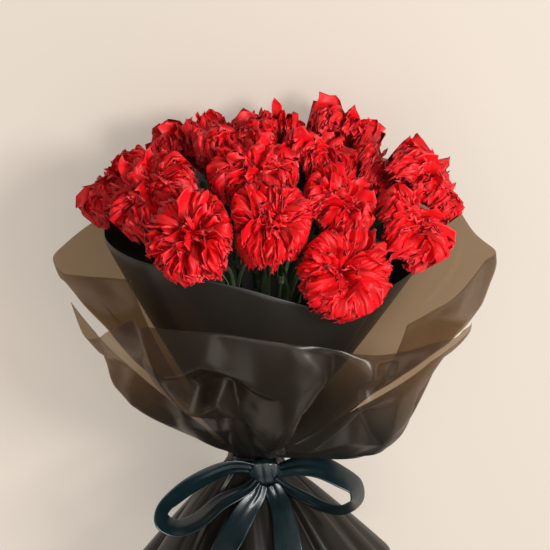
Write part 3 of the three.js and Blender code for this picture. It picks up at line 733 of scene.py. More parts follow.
# ------------------------------------------------------------------ wraps

BINDING_OUTSIDE = (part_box("stem_binding")[1][0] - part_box("stem_binding")[0][0]) / 2 / MM
COLLAR_NECK = BINDING_OUTSIDE + 0.6
LEFT_NECK = COLLAR_NECK + NECK_CREEP + LAYER
RIGHT_NECK = LEFT_NECK + LAYER
FRONT_NECK = RIGHT_NECK + LAYER
BAND_OUTSIDE = (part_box("ribbon_band")[1][0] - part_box("ribbon_band")[0][0]) / 2 / MM
UPPER_ROWS = 84
FOLD_ROOM = 15                  # about the millimetres from a fold to an edge's next corner
REACH_LOW, REACH_HIGH, REACH_STEP = -140.0, 262.0, 2.0
TURN_BINS = 720


class Wrapped:
    """How far out the sheets wrapped so far reach, by turn and height."""

    def __init__(self):
        self.heights = np.arange(REACH_LOW, REACH_HIGH, REACH_STEP)
        self.reach = np.zeros((TURN_BINS, len(self.heights)))

    def add(self, turns, radii, heights):
        bins = np.arange(TURN_BINS) * 360 / TURN_BINS
        per_column = np.zeros((len(turns), len(self.heights)))
        for c in range(len(turns)):
            rising = np.maximum.accumulate(heights[c])
            inside = (self.heights >= rising[0] - 1) & (self.heights <= rising[-1] + 1)
            per_column[c] = np.where(inside, np.interp(self.heights, rising, radii[c]), 0)
        layer = np.zeros_like(self.reach)
        for k, turn in enumerate(bins):
            for lap in (turn, turn + 360, turn - 360):
                if turns[0] - 0.6 <= lap <= turns[-1] + 0.6:
                    c = float(np.interp(lap, turns, np.arange(len(turns))))
                    a, b = int(math.floor(c)), int(math.ceil(c))
                    layer[k] = np.maximum(layer[k], np.maximum(per_column[a], per_column[b]))
        layer = np.max([np.roll(layer, s, 0) for s in (-2, -1, 0, 1, 2)], 0)
        self.reach = np.maximum(self.reach, layer)

    def at(self, turns, heights):
        t = np.mod(turns, 360) / 360 * TURN_BINS
        h = np.clip((heights - REACH_LOW) / REACH_STEP, 0, len(self.heights) - 1.001)
        a, i = np.floor(t).astype(int) % TURN_BINS, np.floor(h).astype(int)
        ft, fh = t - np.floor(t), h - i
        b = (a + 1) % TURN_BINS
        low = self.reach[a, i] * (1 - ft) + self.reach[b, i] * ft
        high = self.reach[a, i + 1] * (1 - ft) + self.reach[b, i + 1] * ft
        both = low * (1 - fh) + high * fh
        return np.where((low > 0) & (high > 0), both, np.maximum(low, high) * (fh < 0.5))


def upper_line(neck, bellies, rims, pulls, drop, share):
    """Radius and height up a sheet from the neck to the rim, bent round the belly."""
    a = (1 - share) ** 2
    b = 2 * pulls * share * (1 - share)
    c = share ** 2
    total = a + b + c
    radius = (a * neck + b * bellies[0] + c * rims[0]) / total
    height = (a * (NECK_HALF - drop) + b * bellies[1] + c * rims[1]) / total
    return radius, height


def saw(x):
    return 2 / math.pi * np.arcsin(np.sin(x))


def facet_height(turns, share, folds):
    """How far flat facets stand off a sheet. They hang between fold lines, which are given
    as (turn, share, height), and the sheet's own edges."""
    scale = np.array([2.2, 200.0])
    given = [point for line in folds for point in line]
    places = np.array([point[:2] for point in given]) * scale
    edge = [(t, s, 0.0) for t in np.linspace(turns[0], turns[-1], 17) for s in (0.06, 1.0)]
    edge += [(t, s, 0.0) for t in (turns[0], turns[-1]) for s in (0.3, 0.55, 0.8)]
    edge = [e for e in edge if np.linalg.norm(places - np.array(e[:2]) * scale, axis=1).min() > FOLD_ROOM]
    corners = given + edge
    pairs, first = [], 0
    for line in folds:
        pairs += [(first + k, first + k + 1) for k in range(len(line) - 1)]
        first += len(line)
    flat = [Vector((c[0] * scale[0], c[1] * scale[1])) for c in corners]
    spots, _, facets, origins, _, _ = delaunay_2d_cdt(flat, pairs, [], 0, 0.001)
    lifts = [corners[o[0]][2] if o else 0.0 for o in origins]
    t, s = np.meshgrid(turns * scale[0], np.maximum(share, 0) * scale[1], indexing="ij")
    height = np.zeros(t.shape)
    for i, j, k in facets:
        (ax, ay), (bx, by), (cx, cy) = spots[i], spots[j], spots[k]
        area = (bx - ax) * (cy - ay) - (cx - ax) * (by - ay)
        if abs(area) < 1e-6:
            continue
        q = ((t - ax) * (cy - ay) - (cx - ax) * (s - ay)) / area
        r = ((bx - ax) * (s - ay) - (t - ax) * (by - ay)) / area
        inside = (q >= -1e-6) & (r >= -1e-6) & (q + r <= 1 + 1e-6)
        height[inside] = (lifts[i] + q * (lifts[j] - lifts[i]) + r * (lifts[k] - lifts[i]))[inside]
    return eased(height)


def widened(height):
    """The highest of each height and its neighbours'."""
    wide = np.pad(height, 1, mode="edge")
    height = np.maximum(np.maximum(wide[:-2], wide[1:-1]), wide[2:])
    return np.maximum(np.maximum(height[:, :-2], height[:, 1:-1]), height[:, 2:])


def eased(height):
    """The same heights with the folds rounded over a neighbour's distance."""
    wide = np.pad(height, 1, mode="edge")
    height = wide[:-2] * 0.25 + wide[1:-1] * 0.5 + wide[2:] * 0.25
    return height[:, :-2] * 0.25 + height[:, 1:-1] * 0.5 + height[:, 2:] * 0.25


def sheet_grid(stations, neck, wrapped, level_at, seed, folds, columns, creeps=None, wild=16):
    """A film sheet as turns, radii and heights: hem, pleated skirt, gathered neck, and
    the upper part with its folds. It goes round what is wrapped already."""
    rng = np.random.default_rng(seed)
    table = np.array([(*s, 0.5)[:6] for s in stations], float)
    places = np.interp(np.linspace(table[0, 0], table[-1, 0], columns), table[:, 0], np.arange(len(table)))
    fine = through(table, places)
    turns = np.linspace(table[0, 0], table[-1, 0], columns)
    radians = np.radians(turns)[:, None]
    if creeps is None:
        creeps = (np.zeros(columns), np.zeros(columns))
    neck_radius = (neck + creeps[0])[:, None]
    rise = neck_radius - COLLAR_NECK
    skirt = np.linspace(1, 0, SKIRT_ROWS)[None, :-1]
    hem = SKIRT_RADIUS * (1 + 0.16 * np.maximum(0, np.sin(radians)))
    wave = 0.9 * saw(PLEATS * radians + math.pi / 2) + 0.6 * saw(6 * radians + seed)
    small = np.sin(23 * radians + seed) * 0.7
    lower_r = neck_radius + (hem - neck_radius) * skirt ** 0.9 + PLEAT_DEPTH * skirt * wave + rise * 1.6 * skirt
    lower_r = lower_r + small * smooth(skirt, 0.02, 0.2) * (1.4 - 0.4 * skirt)
    lower_z = -NECK_HALF - (SKIRT_DEPTH - NECK_HALF) * skirt + 0 * lower_r
    tie = np.linspace(-NECK_HALF, NECK_HALF, NECK_ROWS)[None, :]
    tie_r = neck_radius + 0 * tie
    share = np.linspace(0, 1, UPPER_ROWS + 1)[None, 1:]
    pulls = fine[:, 5:6]
    upper_r, upper_z = upper_line(
        neck_radius, (fine[:, 1:2] + creeps[1][:, None], fine[:, 2:3]),
        (fine[:, 3:4] + creeps[1][:, None], fine[:, 4:5]), pulls, rise * 0.8, share)
    radii = np.hstack([lower_r, tie_r, upper_r])
    heights = np.hstack([lower_z, tie + 0 * tie_r, upper_z])
    full_share = np.hstack([-skirt[0], 0 * tie[0], share[0]])

    wild_folds = []
    for _ in range(wild):
        t, at = rng.uniform(turns[0] + 8, turns[-1] - 8), rng.uniform(0.2, 0.95)
        turn, rise_by = rng.normal(0, 5), rng.uniform(0.06, 0.2)
        lift = rng.choice([-1, 1]) * rng.uniform(1.0, 2.6)
        wild_folds.append([(t - turn, max(0.12, at - rise_by), 0.3 * lift), (t, at, lift),
                           (t + turn, min(0.97, at + rise_by), 0.3 * lift)])
    gather = np.exp(-np.maximum(0, np.abs(heights) - 14) / 26)
    amount = np.where(np.abs(heights) < NECK_HALF, 0.22, 0.22 + 1.25 * smooth(np.abs(heights), 12, 30))
    phase = seed * 0.7
    fold = saw(19 * radians + phase) * 1.1 + saw(31 * radians + 2.1 * phase) * 0.3
    detail = (facet_height(turns, full_share, folds) + facet_height(turns, full_share, wild_folds)
              + fold * gather * amount)
    along_r, along_z = np.gradient(radii, axis=1), np.gradient(heights, axis=1)
    run = np.hypot(along_r, along_z) + 1e-9
    radii = radii + detail * along_z / run
    heights = heights - detail * np.where(np.abs(heights) > NECK_HALF, along_r / run, 0)
    reach = wrapped.at(turns[:, None] + 0 * radii, heights)
    reach = eased(widened(eased(widened(reach))))
    from_neck = np.maximum(0, np.abs(heights) - NECK_HALF)
    radii = np.where(reach > 0, np.maximum(radii, reach + np.minimum(3.2, AIR + from_neck * 0.08)), radii)
    level = np.array([level_at(t) for t in turns])[:, None]
    deep = np.sin(radians) * radii
    radii = radii * np.where(deep > level, level / np.maximum(deep, 1e-6), 1)
    return turns, radii, heights


def aside(heights):
    """How far the skirt is drawn to the right at these heights."""
    return SKIRT_SIDE * (np.maximum(0, -heights - NECK_HALF) / (SKIRT_DEPTH - NECK_HALF))


def drawn_aside(points):
    points = np.array(points, float)
    points[..., 0] += aside(points[..., 2])
    return points


def sheet_piece(name, turns, radii, heights, thickness):
    grid = drawn_aside(turned(turns[:, None], radii, heights))
    steps = np.diff(grid, axis=1, prepend=grid[:, :1])
    run = np.cumsum(np.linalg.norm(steps, axis=-1), 1)
    points, faces = closed_sheet(grid, thickness)
    points[:, 1] = np.minimum(points[:, 1], BACK_DEPTH - FLOOR_GAP)
    piece = sheet_from(name, points, faces, np.radians(turns - turns[0])[:, None] * UV_RADIUS, run)
    mark(piece.data, "layers", 1 - 0.9 * smooth(heights, 20, 95))
    return piece


FRONT_FOLDS = [
    [(231.8, 1.0, 5.4), (238.5, 0.831, 14.9), (243.2, 0.615, 10.8), (255.6, 0.662, 2.7)],
    [(245, 0.96, 8.1), (253.7, 0.908, 13.5), (267.1, 0.85, 5.4)],
    [(255.6, 0.84, -4.1), (261.4, 0.754, -17.6), (264.2, 0.431, -13.5), (266, 0.25, -6.8)],
    [(222.2, 0.846, -4.1), (219.3, 0.708, -13.5), (239.4, 0.523, -16.2), (255.6, 0.308, -8.1)],
    [(226.0, 1.0, -5.4), (228, 0.9, -4.1)],
    [(188.0, 0.66, 6), (195.0, 0.6, 13), (205.0, 0.48, 13), (216.0, 0.34, 8)],
    [(244.2, 0.769, -6.8), (246, 0.72, -9.5)],
    [(278.6, 0.908, 4.1), (279.5, 0.8, 12.2), (280.6, 0.615, 12.2), (280.0, 0.292, 5.4)],
    [(291.9, 0.93, 12.2), (285.4, 0.75, 13.5), (283.6, 0.5, 9.5)],
    [(296.7, 0.892, -8.1), (290.5, 0.738, -20.2), (287.5, 0.508, -17.6), (284.5, 0.3, -8.1)],
    [(304.4, 0.985, 10.8), (304.4, 0.955, 17.6), (303.4, 0.815, 13.5), (294.8, 0.446, 10.8),
     (288.5, 0.28, 4.1)],
    [(303.8, 0.885, 14.2), (317.7, 0.908, 8.1), (324.4, 0.6, 4.1)],
    [(308.5, 0.75, -9.5), (322.0, 0.6, 1.4)],
    [(293.9, 0.985, -4.1), (294.5, 0.95, -5.4)],
    [(325.4, 0.954, 4.1), (330.0, 0.8, 2.7)],
    [(311.1, 0.969, -8.1), (313.5, 0.94, -6.8)],
    [(335.9, 1.0, 4.1), (334.0, 0.86, -4.1)],
]
LEFT_FOLDS = [
    [(160.7, 0.95, 3), (151, 0.85, 9), (148, 0.5, 4)],
    [(161.5, 0.90, 5), (165, 0.80, 8), (170, 0.4, 3)],
    [(140, 0.97, -3), (143, 0.6, -8), (150, 0.2, -2)],
    [(185, 0.97, 4), (190, 0.5, 7), (196, 0.2, 2)],
    [(176, 0.7, -6), (184, 0.3, -3)],
    [(112, 0.95, 3), (118, 0.5, 6)],
]
RIGHT_FOLDS = [
    [(377.0, 1.0, 3), (378.0, 0.86, 9), (380, 0.5, 4)],
    [(371.8, 1.0, -3), (371.5, 0.86, -8), (373, 0.4, -3)],
    [(364, 0.98, 3), (367.5, 0.84, 8), (367, 0.6, 6), (368, 0.3, 2)],
    [(339.3, 0.93, 5), (351, 0.77, 8), (356, 0.5, 3)],
    [(330, 0.97, -3), (338, 0.6, -7), (346, 0.3, -3)],
    [(393, 0.98, -3), (391, 0.6, -8), (389, 0.2, -2)],
    [(405, 0.98, 3), (402, 0.55, 7), (400, 0.2, 2)],
    [(430, 0.95, -3), (425, 0.5, -5)],
]
COLLAR_FOLDS = [
    [(305, 0.97, 2), (306, 0.6, 4), (306, 0.2, 1)],
    [(582, 0.97, -2), (590, 0.35, -3)],
    [(560, 0.97, 2), (566, 0.4, 3)],
    [(636, 0.97, 2), (633, 0.4, 3)],
    [(520, 0.97, -2), (528, 0.4, -3)],
]


# ------------------------------------------------------------------ ribbon

STRIP_STEPS = 150


def clear_of_wrap(points, wrapped, gap):
    """The same points, moved out from the axis where they are too near the wrap."""
    middle = aside(points[..., 2])
    x, y = points[..., 0] - middle, points[..., 1]
    turn = np.degrees(np.arctan2(y, x))
    least = wrapped.at(turn, points[..., 2]) + gap
    short = np.maximum(least / np.maximum(np.hypot(x, y), 1e-6), 1)
    return np.stack([x * short + middle, y * short, points[..., 2]], -1)


def ribbon_strip(name, line, widths, tilts, wrapped, thickness, curl, seed):
    """A satin strip along a line. tilts are the degrees that its face is turned from the
    open side at even steps along it. It is gathered at the knot and clears the wrap."""
    first, last = np.array(line[0], float), np.array(line[-1], float)
    line = [first + (KNOT - first) * KNOT_REACH, *line]
    if curl > 0:
        line.append(last + (KNOT - last) * KNOT_REACH)
    middle = centripetal(line, STRIP_STEPS)
    share = np.linspace(0, 1, STRIP_STEPS)
    w = np.linspace(-1, 1, 15)
    half = np.interp(share, np.linspace(0, 1, len(widths)), widths) / 2
    along = unit(np.gradient(middle, axis=0))
    flat = unit(np.cross(along, OPEN_SIDE))
    up = np.cross(flat, along)
    turn = np.radians(through(np.array(tilts, float), share * (len(tilts) - 1)))[:, None]
    lean = flat * np.cos(turn) + up * np.sin(turn)
    face = np.cross(along, lean)
    rng = np.random.default_rng(seed)
    phase = rng.uniform(0, PHASE_TURN, 3)
    ends = np.exp(-share * 9) + (np.exp(-(1 - share) * 9) if curl > 0 else 0)
    folds = (np.sin(w[None] * 7.5 + phase[0]) * 1.3 + np.sin(w[None] * 13 + phase[1]) * 0.5) * ends[:, None]
    waves = 0.6 * np.sin(share * 17 + phase[2])[:, None] * (w[None] ** 2)
    rise = folds + waves + abs(curl) * (w[None] ** 2 - 0.3)
    across = half[:, None] * w[None]
    grid = middle[:, None] + lean[:, None] * across[..., None] + face[:, None] * rise[..., None]
    grid = clear_of_wrap(grid, wrapped, RIBBON_AIR)
    return sheet_from(name, *closed_sheet(grid, thickness), across, run_along(middle)[:, None])


def band_piece(thickness):
    around, up = 180, 11
    a = np.linspace(0, 360, around + 1)
    z = np.linspace(-TIE_BAND / 2, TIE_BAND / 2, up)
    rng = np.random.default_rng(12)
    phase = rng.uniform(0, PHASE_TURN, 4)
    rad = np.radians(a)[:, None]
    soft = 0.14 * np.sin(z[None] * 1.1 + 2 * np.sin(rad + phase[0]))
    soft = soft + 0.08 * np.sin(z[None] * 2.3 + 3 * np.sin(rad * 2))
    radius = BAND_OUTSIDE - thickness - 0.1 + soft * 0.8
    height = z[None] * (1 + 0.04 * np.sin(rad * 3 + phase[1]))
    grid = turned(a[:, None], radius, height)
    return sheet_from("Ribbon_band", *closed_sheet(grid, thickness), height, rad * BAND_OUTSIDE)


def knot_piece():
    """The wrapped knot: a soft lump with the folds of the satin pulled over it."""
    around, up = 96, 48
    a, b = np.meshgrid(np.linspace(0, 2 * math.pi, around, endpoint=False),
                       np.linspace(-math.pi / 2 + 0.02, math.pi / 2 - 0.02, up), indexing="ij")
    p = np.stack([np.cos(b) * np.cos(a), np.cos(b) * np.sin(a), np.sin(b)], -1)
    square = p / np.abs(p).max(-1, keepdims=True)
    p = p * 0.82 + square * 0.18
    ridges = saw(p[..., 0] * 9 + 1.4 * p[..., 2]) * 0.055 + saw(p[..., 0] * 17 + 2 * p[..., 2] + 1) * 0.02
    waist = 1 - 0.10 * np.exp(-((np.abs(p[..., 2]) - 0.95) / 0.25) ** 2)
    p = p * (1 + ridges * (1 - 0.7 * np.abs(p[..., 2])))[..., None] * waist[..., None]
    size = KNOT_SIZE[[0, 2, 1]] * KNOT_FULLNESS
    grid = p / np.abs(p).max() * size / 2 * 0.99 + KNOT
    return piece_from("Ribbon_knot", grid.reshape(-1, 3), capped_quads(around, up))


# ------------------------------------------------------------------ binding

def twine_tree():
    """A thread wound round the stems: a spiral, given its thickness, and laid down."""
    tree, given = made_tree("Wound thread", {
        "Turns": "Float", "Radius": "Float", "Height": "Float", "Thread": "Float", "Place": "Vector",
        "Finish": "Material"})
    spiral = add(tree, "GeometryNodeCurveSpiral", inputs={
        "Resolution": 40, "Rotations": given["Turns"], "Start Radius": given["Radius"],
        "End Radius": given["Radius"], "Height": given["Height"]})
    thread = add(tree, "GeometryNodeCurvePrimitiveCircle", inputs={
        "Resolution": 10, "Radius": given["Thread"]})
    solid = add(tree, "GeometryNodeCurveToMesh", inputs={
        "Fill Caps": True, "Curve": spiral.outputs[0], "Profile Curve": thread.outputs[0]})
    lay = add(tree, "GeometryNodeTransform", inputs={
        "Geometry": solid.outputs[0], "Translation": given["Place"], "Rotation": (-math.pi / 2, 0, 0)})
    real = add(tree, "GeometryNodeRealizeInstances", inputs={0: lay.outputs[0]})
    return end_tree(tree, real.outputs[0], given["Finish"])


# ------------------------------------------------------------------ finishes

CLAW_COLOR = (0.25, 0.32, 0.12)
GATHERED_COLOR = (0.004, 0.0035, 0.003, 1)


def petal_finish(settings):
    """Red with painted shade deepening it towards the claw, where the head is hollow, and a painted highlight
    paling it at the edge, with fine veins.
    """
    material, tree, principled = plain_material("Carnation petal", Roughness=0.5, Specular_IOR_Level=0.35)
    blade, across = (add(tree, "ShaderNodeAttribute", -1000, y, attribute_name=name).outputs["Fac"]
                     for name, y in (("blade", 0), ("across", -600)))
    deep, full, light = (
        tuple(color) for color in (settings.painted_shade_color, settings.petal_color, settings.painted_highlight_color))
    # Painted shade: the deep colour darkens the inner blade, where the head's hollows are in shade. Painted
    # highlight: the light colour pales the very edge.
    along = ramp(tree, blade, [
        (0.0, CLAW_COLOR), (0.16, deep), (0.5, deep), (0.82, full), (0.95, full), (1.0, light)], -700, 100)
    # Random patches of the painted shade colour.
    patchy = noise(tree, 90, x=-700, y=-300)
    patches = ramp(tree, patchy, [(0.35, (0, 0, 0)), (0.75, (0.5, 0.5, 0.5))], -450, -300)
    link(tree, mixed(tree, patches, along, (*deep, 1), -300, 100), principled.inputs["Base Color"])
    spread = add(tree, "ShaderNodeCombineXYZ", -800, -600, {0: across, 1: blade})
    stretch = add(tree, "ShaderNodeMapping", -700, -700, {"Scale": (26, 2.5, 1), "Vector": spread.outputs[0]})
    veins = add(tree, "ShaderNodeTexNoise", -600, -600, {"Vector": stretch.outputs[0], "Scale": 1.0},
                noise_dimensions="2D")
    bump(tree, principled, veins.outputs["Fac"], 0.35, 0.0006)
    return material


def grained_finish(name, roughness, dark, light, strength, depth, **grain):
    """A finish whose colour and relief follow one noise."""
    material, tree, principled = plain_material(name, Roughness=roughness)
    height = noise(tree, **grain)
    color = ramp(tree, height, [(0.3, dark), (0.7, light)], -500, 100)
    link(tree, color, principled.inputs["Base Color"])
    bump(tree, principled, height, strength, depth)
    return material


def stem_finish():
    # The stems' own green, darkened as painted shade for the stems that stand deep in the wrap.
    return grained_finish("Stem green", 0.5, (0.045, 0.075, 0.025), (0.10, 0.15, 0.06), 0.25, 0.0005,
                          scale=220, detail=4, stretch=(1, 0.06, 1))


def leaf_finish():
    return grained_finish("Leaf green", 0.45, (0.12, 0.19, 0.09), (0.24, 0.33, 0.17), 0.3, 0.0004,
                          scale=160, detail=4, stretch=(1, 0.08, 1))


def film_finish(name, color, roughness, passed=None, haze=0.2):
    """Smoky film: dark, glossy, and tinting what shows through it. It is dense where it is
    gathered, and dense all over when passed isn't given."""
    material, tree, principled = plain_material(name, Roughness=roughness, Specular_IOR_Level=0.48)
    dark = tuple(c * 0.75 for c in color)
    tint = ramp(tree, noise(tree, 9), [(0.3, dark), (0.7, tuple(color))], -500, 200)
    bump(tree, principled, noise(tree, 16, 2, 0.4, y=-600), 0.1, 0.003)
    if not passed:
        link(tree, tint, principled.inputs["Base Color"])
        return material
    layers = add(tree, "ShaderNodeAttribute", -1000, -800, attribute_name="layers").outputs["Fac"]

    def by_layers(open_film, gathered, y):
        inputs = {"Value": layers, "To Min": open_film, "To Max": gathered}
        return add(tree, "ShaderNodeMapRange", -500, y, inputs).outputs["Result"]

    link(tree, by_layers(0.65, 0.16, -1100), principled.inputs["Specular IOR Level"])
    body = mixed(tree, by_layers(0, 0.75, -1400), tint, GATHERED_COLOR, -300, 300)
    link(tree, body, principled.inputs["Base Color"])
    clear = add(tree, "ShaderNodeBsdfTransparent", 0, -300, {"Color": (*passed, 1)})
    both = add(tree, "ShaderNodeMixShader", 300, 0, {
        0: by_layers(haze, 0.985, -800), 1: clear.outputs[0], 2: principled.outputs[0]})
    end = next(n for n in tree.nodes if n.type == "OUTPUT_MATERIAL")
    link(tree, both.outputs[0], end.inputs["Surface"])
    return material


def satin_finish(settings):
    """Satin: long bright sheen across fine threads."""
    material, tree, principled = plain_material("Satin ribbon", Roughness=0.27, Anisotropic=0.4)
    source = add(tree, "ShaderNodeTexCoord", -1100, -300).outputs["UV"]
    threads = add(tree, "ShaderNodeTexWave", -700, -300, {"Scale": 900, "Distortion": 0.6, "Vector": source},
                  wave_type="BANDS", bands_direction="Y")
    color = tuple(settings.ribbon_color)
    tint = ramp(tree, noise(tree, 60), [(0.3, tuple(c * 0.7 for c in color)), (0.7, color)], -500, 200)
    link(tree, tint, principled.inputs["Base Color"])
    bump(tree, principled, threads.outputs["Fac"], 0.12, 0.00015)
    return material


def twine_finish():
    return grained_finish("Binding twine", 0.9, (0.28, 0.19, 0.09), (0.52, 0.40, 0.22), 0.6, 0.0004,
                          scale=900, detail=4, rough=0.7)


def floor_finish(color):
    """A pale floor that is partly lit by itself, so that the shadow on it stays light."""
    material, tree, principled = plain_material(
        "Pale backdrop", Roughness=0.9, Emission_Color=(*color, 1), Emission_Strength=1.1)
    stops = [(0.2, tuple(c * 0.985 for c in color)), (0.8, tuple(color))]
    link(tree, ramp(tree, noise(tree, 2.0, 2), stops, -500, 100), principled.inputs["Base Color"])
    return material


# ------------------------------------------------------------------ settings

def length(label, text, default, low=0.0001, high=2.0):
    return bpy.props.FloatProperty(
        name=label, description=text, default=default, min=low, max=high, subtype="DISTANCE",
        unit="LENGTH")


def power(label, text, default):
    return bpy.props.FloatProperty(
        name=label, description=text, default=default, min=0, max=500, unit="POWER")


def colour(label, text, default):
    return bpy.props.FloatVectorProperty(
        name=label, description=text, default=default, size=3, min=0, max=1, subtype="COLOR")


class BloomSettings(bpy.types.PropertyGroup):
    petals: bpy.props.IntProperty(
        name="Petals", description="Petals in each head", default=66, min=10, max=90)
    crumple: length("Crumple", "How far the petal blades are pushed about", 0.021)
    lean: bpy.props.FloatProperty(
        name="Lean", description="How far petals tip out of line", default=0.2, min=0, max=1,
        subtype="ANGLE", unit="ROTATION")
    petal_color: colour("Petal", "Colour of the petal blades", (0.80, 0.0035, 0.0085))
    # Painted shade for the head's hollows, towards the claws.
    painted_shade_color: colour("Deep petal", "Colour near the claws and in the folds", (0.34, 0.001, 0.002))
    # Painted highlight on the toothed edge.
    painted_highlight_color: colour("Petal edge", "Colour of the toothed edge", (0.95, 0.07, 0.085))


class StemSettings(bpy.types.PropertyGroup):
    radius: length("Stem radius", "Half the thickness of a stem between its joints", 0.002)
    thread: length("Thread", "Thickness of the binding thread", 0.0012)


class WrapSettings(bpy.types.PropertyGroup):
    thickness: length("Film", "Thickness of the wrap sheets", 0.00045)
    film_color: colour("Film", "Body colour of the smoky film", (0.034, 0.027, 0.020))
    collar_color: colour("Collar", "Body colour of the inner collar", (0.016, 0.014, 0.012))
    film_tint: colour("Film tint", "Colour that one skin of the film lets through", (0.96, 0.83, 0.68))
    film_haze: bpy.props.FloatProperty(
        name="Film haze", description="How much one skin of the film hides", default=0.33, min=0, max=1,
        subtype="FACTOR")


class RibbonSettings(bpy.types.PropertyGroup):
    width: length("Ribbon", "Width of the ribbon laid flat", 0.025)
    thickness: length("Satin", "Thickness of the ribbon", 0.0006)
    ribbon_color: colour("Satin", "Body colour of the ribbon", (0.004, 0.013, 0.016))


class StageSettings(bpy.types.PropertyGroup):
    floor_color: colour("Backdrop", "Colour of the surface under the bunch", (0.345, 0.305, 0.263))
    key_power: power("Key light", "Strength of the light from the right", 52)
    fill_power: power("Fill light", "Strength of the light from above", 36)
    distance: length("Camera distance", "From the camera to the middle of the bunch", 1.9, 0.3, 10)
    elevation: bpy.props.FloatProperty(
        name="Elevation", description="The camera's tilt from straight down", default=math.radians(22),
        subtype="ANGLE", unit="ROTATION")


SETTINGS = {
    "carnation_blooms": BloomSettings, "carnation_stems": StemSettings, "carnation_wrap": WrapSettings,
    "carnation_ribbon": RibbonSettings, "carnation_stage": StageSettings,
}
BUILT = {}                      # what later operators need from earlier ones


# ------------------------------------------------------------------ operators

CAMERA_TARGET = np.array([17.672, 0, 171.540])
LENS = 145.5
FLOOR_HALF = 4.0


class CARNATION_OT_stage(bpy.types.Operator):
    """Set the backdrop, the lights and the camera"""
    bl_idname = "carnation.stage"
    bl_label = "Stage"

    def execute(self, context):
        s = context.scene.carnation_stage
        look = np.array([0, math.cos(s.elevation), -math.sin(s.elevation)])
        data = bpy.data.cameras.new("Camera")
        data.lens = LENS
        data.sensor_width = 36
        camera = placed("Camera", data)
        camera.location = lay_down(CAMERA_TARGET - look * s.distance / MM)
        camera.rotation_euler = (-s.elevation, 0, 0)
        context.scene.camera = camera

        mesh = bpy.data.meshes.new("Backdrop")
        corners = [(x * FLOOR_HALF, y * FLOOR_HALF, 0) for x, y in ((-1, -1), (1, -1), (1, 1), (-1, 1))]
        mesh.from_pydata(corners, [], [(0, 1, 2, 3)])
        mesh.materials.append(floor_finish(s.floor_color))
        placed("Backdrop", mesh)

        for name, place, aim, size, power, warmth in (
                ("Key", (1.25, 0.85, 1.9), (0.02, 0.03, 0.12), 0.6, s.key_power, (1.0, 0.98, 0.96)),
                ("Fill", (0.35, 0.25, 2.5), (0, 0, 0.1), 2.6, s.fill_power, (1.0, 0.99, 0.98)),
                ("Low", (0.4, -1.6, 1.3), (0, 0, 0.1), 1.2, s.fill_power * 0.14, (1.0, 0.98, 0.96))):
            light = bpy.data.lights.new(name, "AREA")
            light.size = size
            light.energy = power
            light.color = warmth
            lamp = placed(name, light)
            lamp.location = place
            lamp.rotation_euler = (Vector(aim) - Vector(place)).to_track_quat("-Z", "Y").to_euler()
        world = bpy.data.worlds.new("Studio")
        world.use_nodes = True
        background = world.node_tree.nodes["Background"].inputs
        background["Color"].default_value = (1.0, 0.97, 0.93, 1)
        background["Strength"].default_value = 0.16
        context.scene.world = world
        context.scene.view_settings.view_transform = "Standard"
        return {"FINISHED"}


class CARNATION_OT_stems(bpy.types.Operator):
    """Build the stems with their calyxes and leaf pairs"""
    bl_idname = "carnation.stems"
    bl_label = "Stems and leaves"

    def execute(self, context):
        s = context.scene.carnation_stems
        stems = BUILT["stems"] = settled_stems()
        green, leaf_green = stem_finish(), leaf_finish()
        for k, stem in enumerate(stems):
            stalk = stem_piece(stem, k, s.radius / MM)
            stalk.data.materials.append(green)
            settle(stalk, "stems", f"stem_{k + 1}")
            leaves = leaf_blades(stem, k)
            leaves.data.materials.append(leaf_green)
            settle(leaves, "leaves", f"leaf_pair_{k + 1}")
        return {"FINISHED"}


class CARNATION_OT_binding(bpy.types.Operator):
    """Wind the thread that holds the stems"""
    bl_idname = "carnation.binding"
    bl_label = "Binding"

    def execute(self, context):
        thread = context.scene.carnation_stems.thread
        height = TIE_BAND * MM - thread
        turns = height / thread * 0.96
        piece = grown("Stem_binding", twine_tree(), Turns=turns, Radius=BINDING_OUTSIDE * MM - thread / 2,
                      Height=height, Thread=thread / 2, Place=(TIE[0], TIE[1] - height / 2, TIE[2]),
                      Finish=twine_finish())
        settle(piece, "twine", "stem_binding")
        return {"FINISHED"}


class CARNATION_OT_blooms(bpy.types.Operator):
    """Grow the fifteen heads"""
    bl_idname = "carnation.blooms"
    bl_label = "Blooms"

    def execute(self, context):
        s = context.scene.carnation_blooms
        stock, tree, red = petal_stock(), bloom_tree(), petal_finish(s)
        stems = BUILT["stems"]
        centres = [stem["centre"] for stem in stems]
        for k, stem in enumerate(stems):
            head = grown(f"Bloom_{k + 1}", tree, Petals=s.petals, Seed=k + 3, Crumple=s.crumple,
                         Lean=s.lean, Stock=stock, Finish=red)
            mesh = head.data
            local = np.empty(len(mesh.vertices) * 3, np.float32)
            mesh.vertices.foreach_get("co", local)
            local = local.reshape(-1, 3).astype(float) / MM
            local = local @ about_z(math.radians(HEAD_TURN * k)).T
            local[:, 2] -= BLOOM_ROOT
            flat = np.hypot(local[:, 0], local[:, 1])
            local[:, :2] *= np.minimum(1, (BLOOM_RADIUS + BLOOM_SPREAD) / np.maximum(flat, 1e-6))[:, None]
            points = local @ upright(stem["axis"]).T + stem["centre"]
            points = squeezed(points, k, centres)
            mesh.vertices.foreach_set("co", lay_down(points).astype(np.float32).ravel())
            mesh.update()
            settle(head, "petals", f"bloom_{k + 1}")
        for blade in list(stock.objects):
            bpy.data.objects.remove(blade)
        bpy.data.collections.remove(stock)
        return {"FINISHED"}


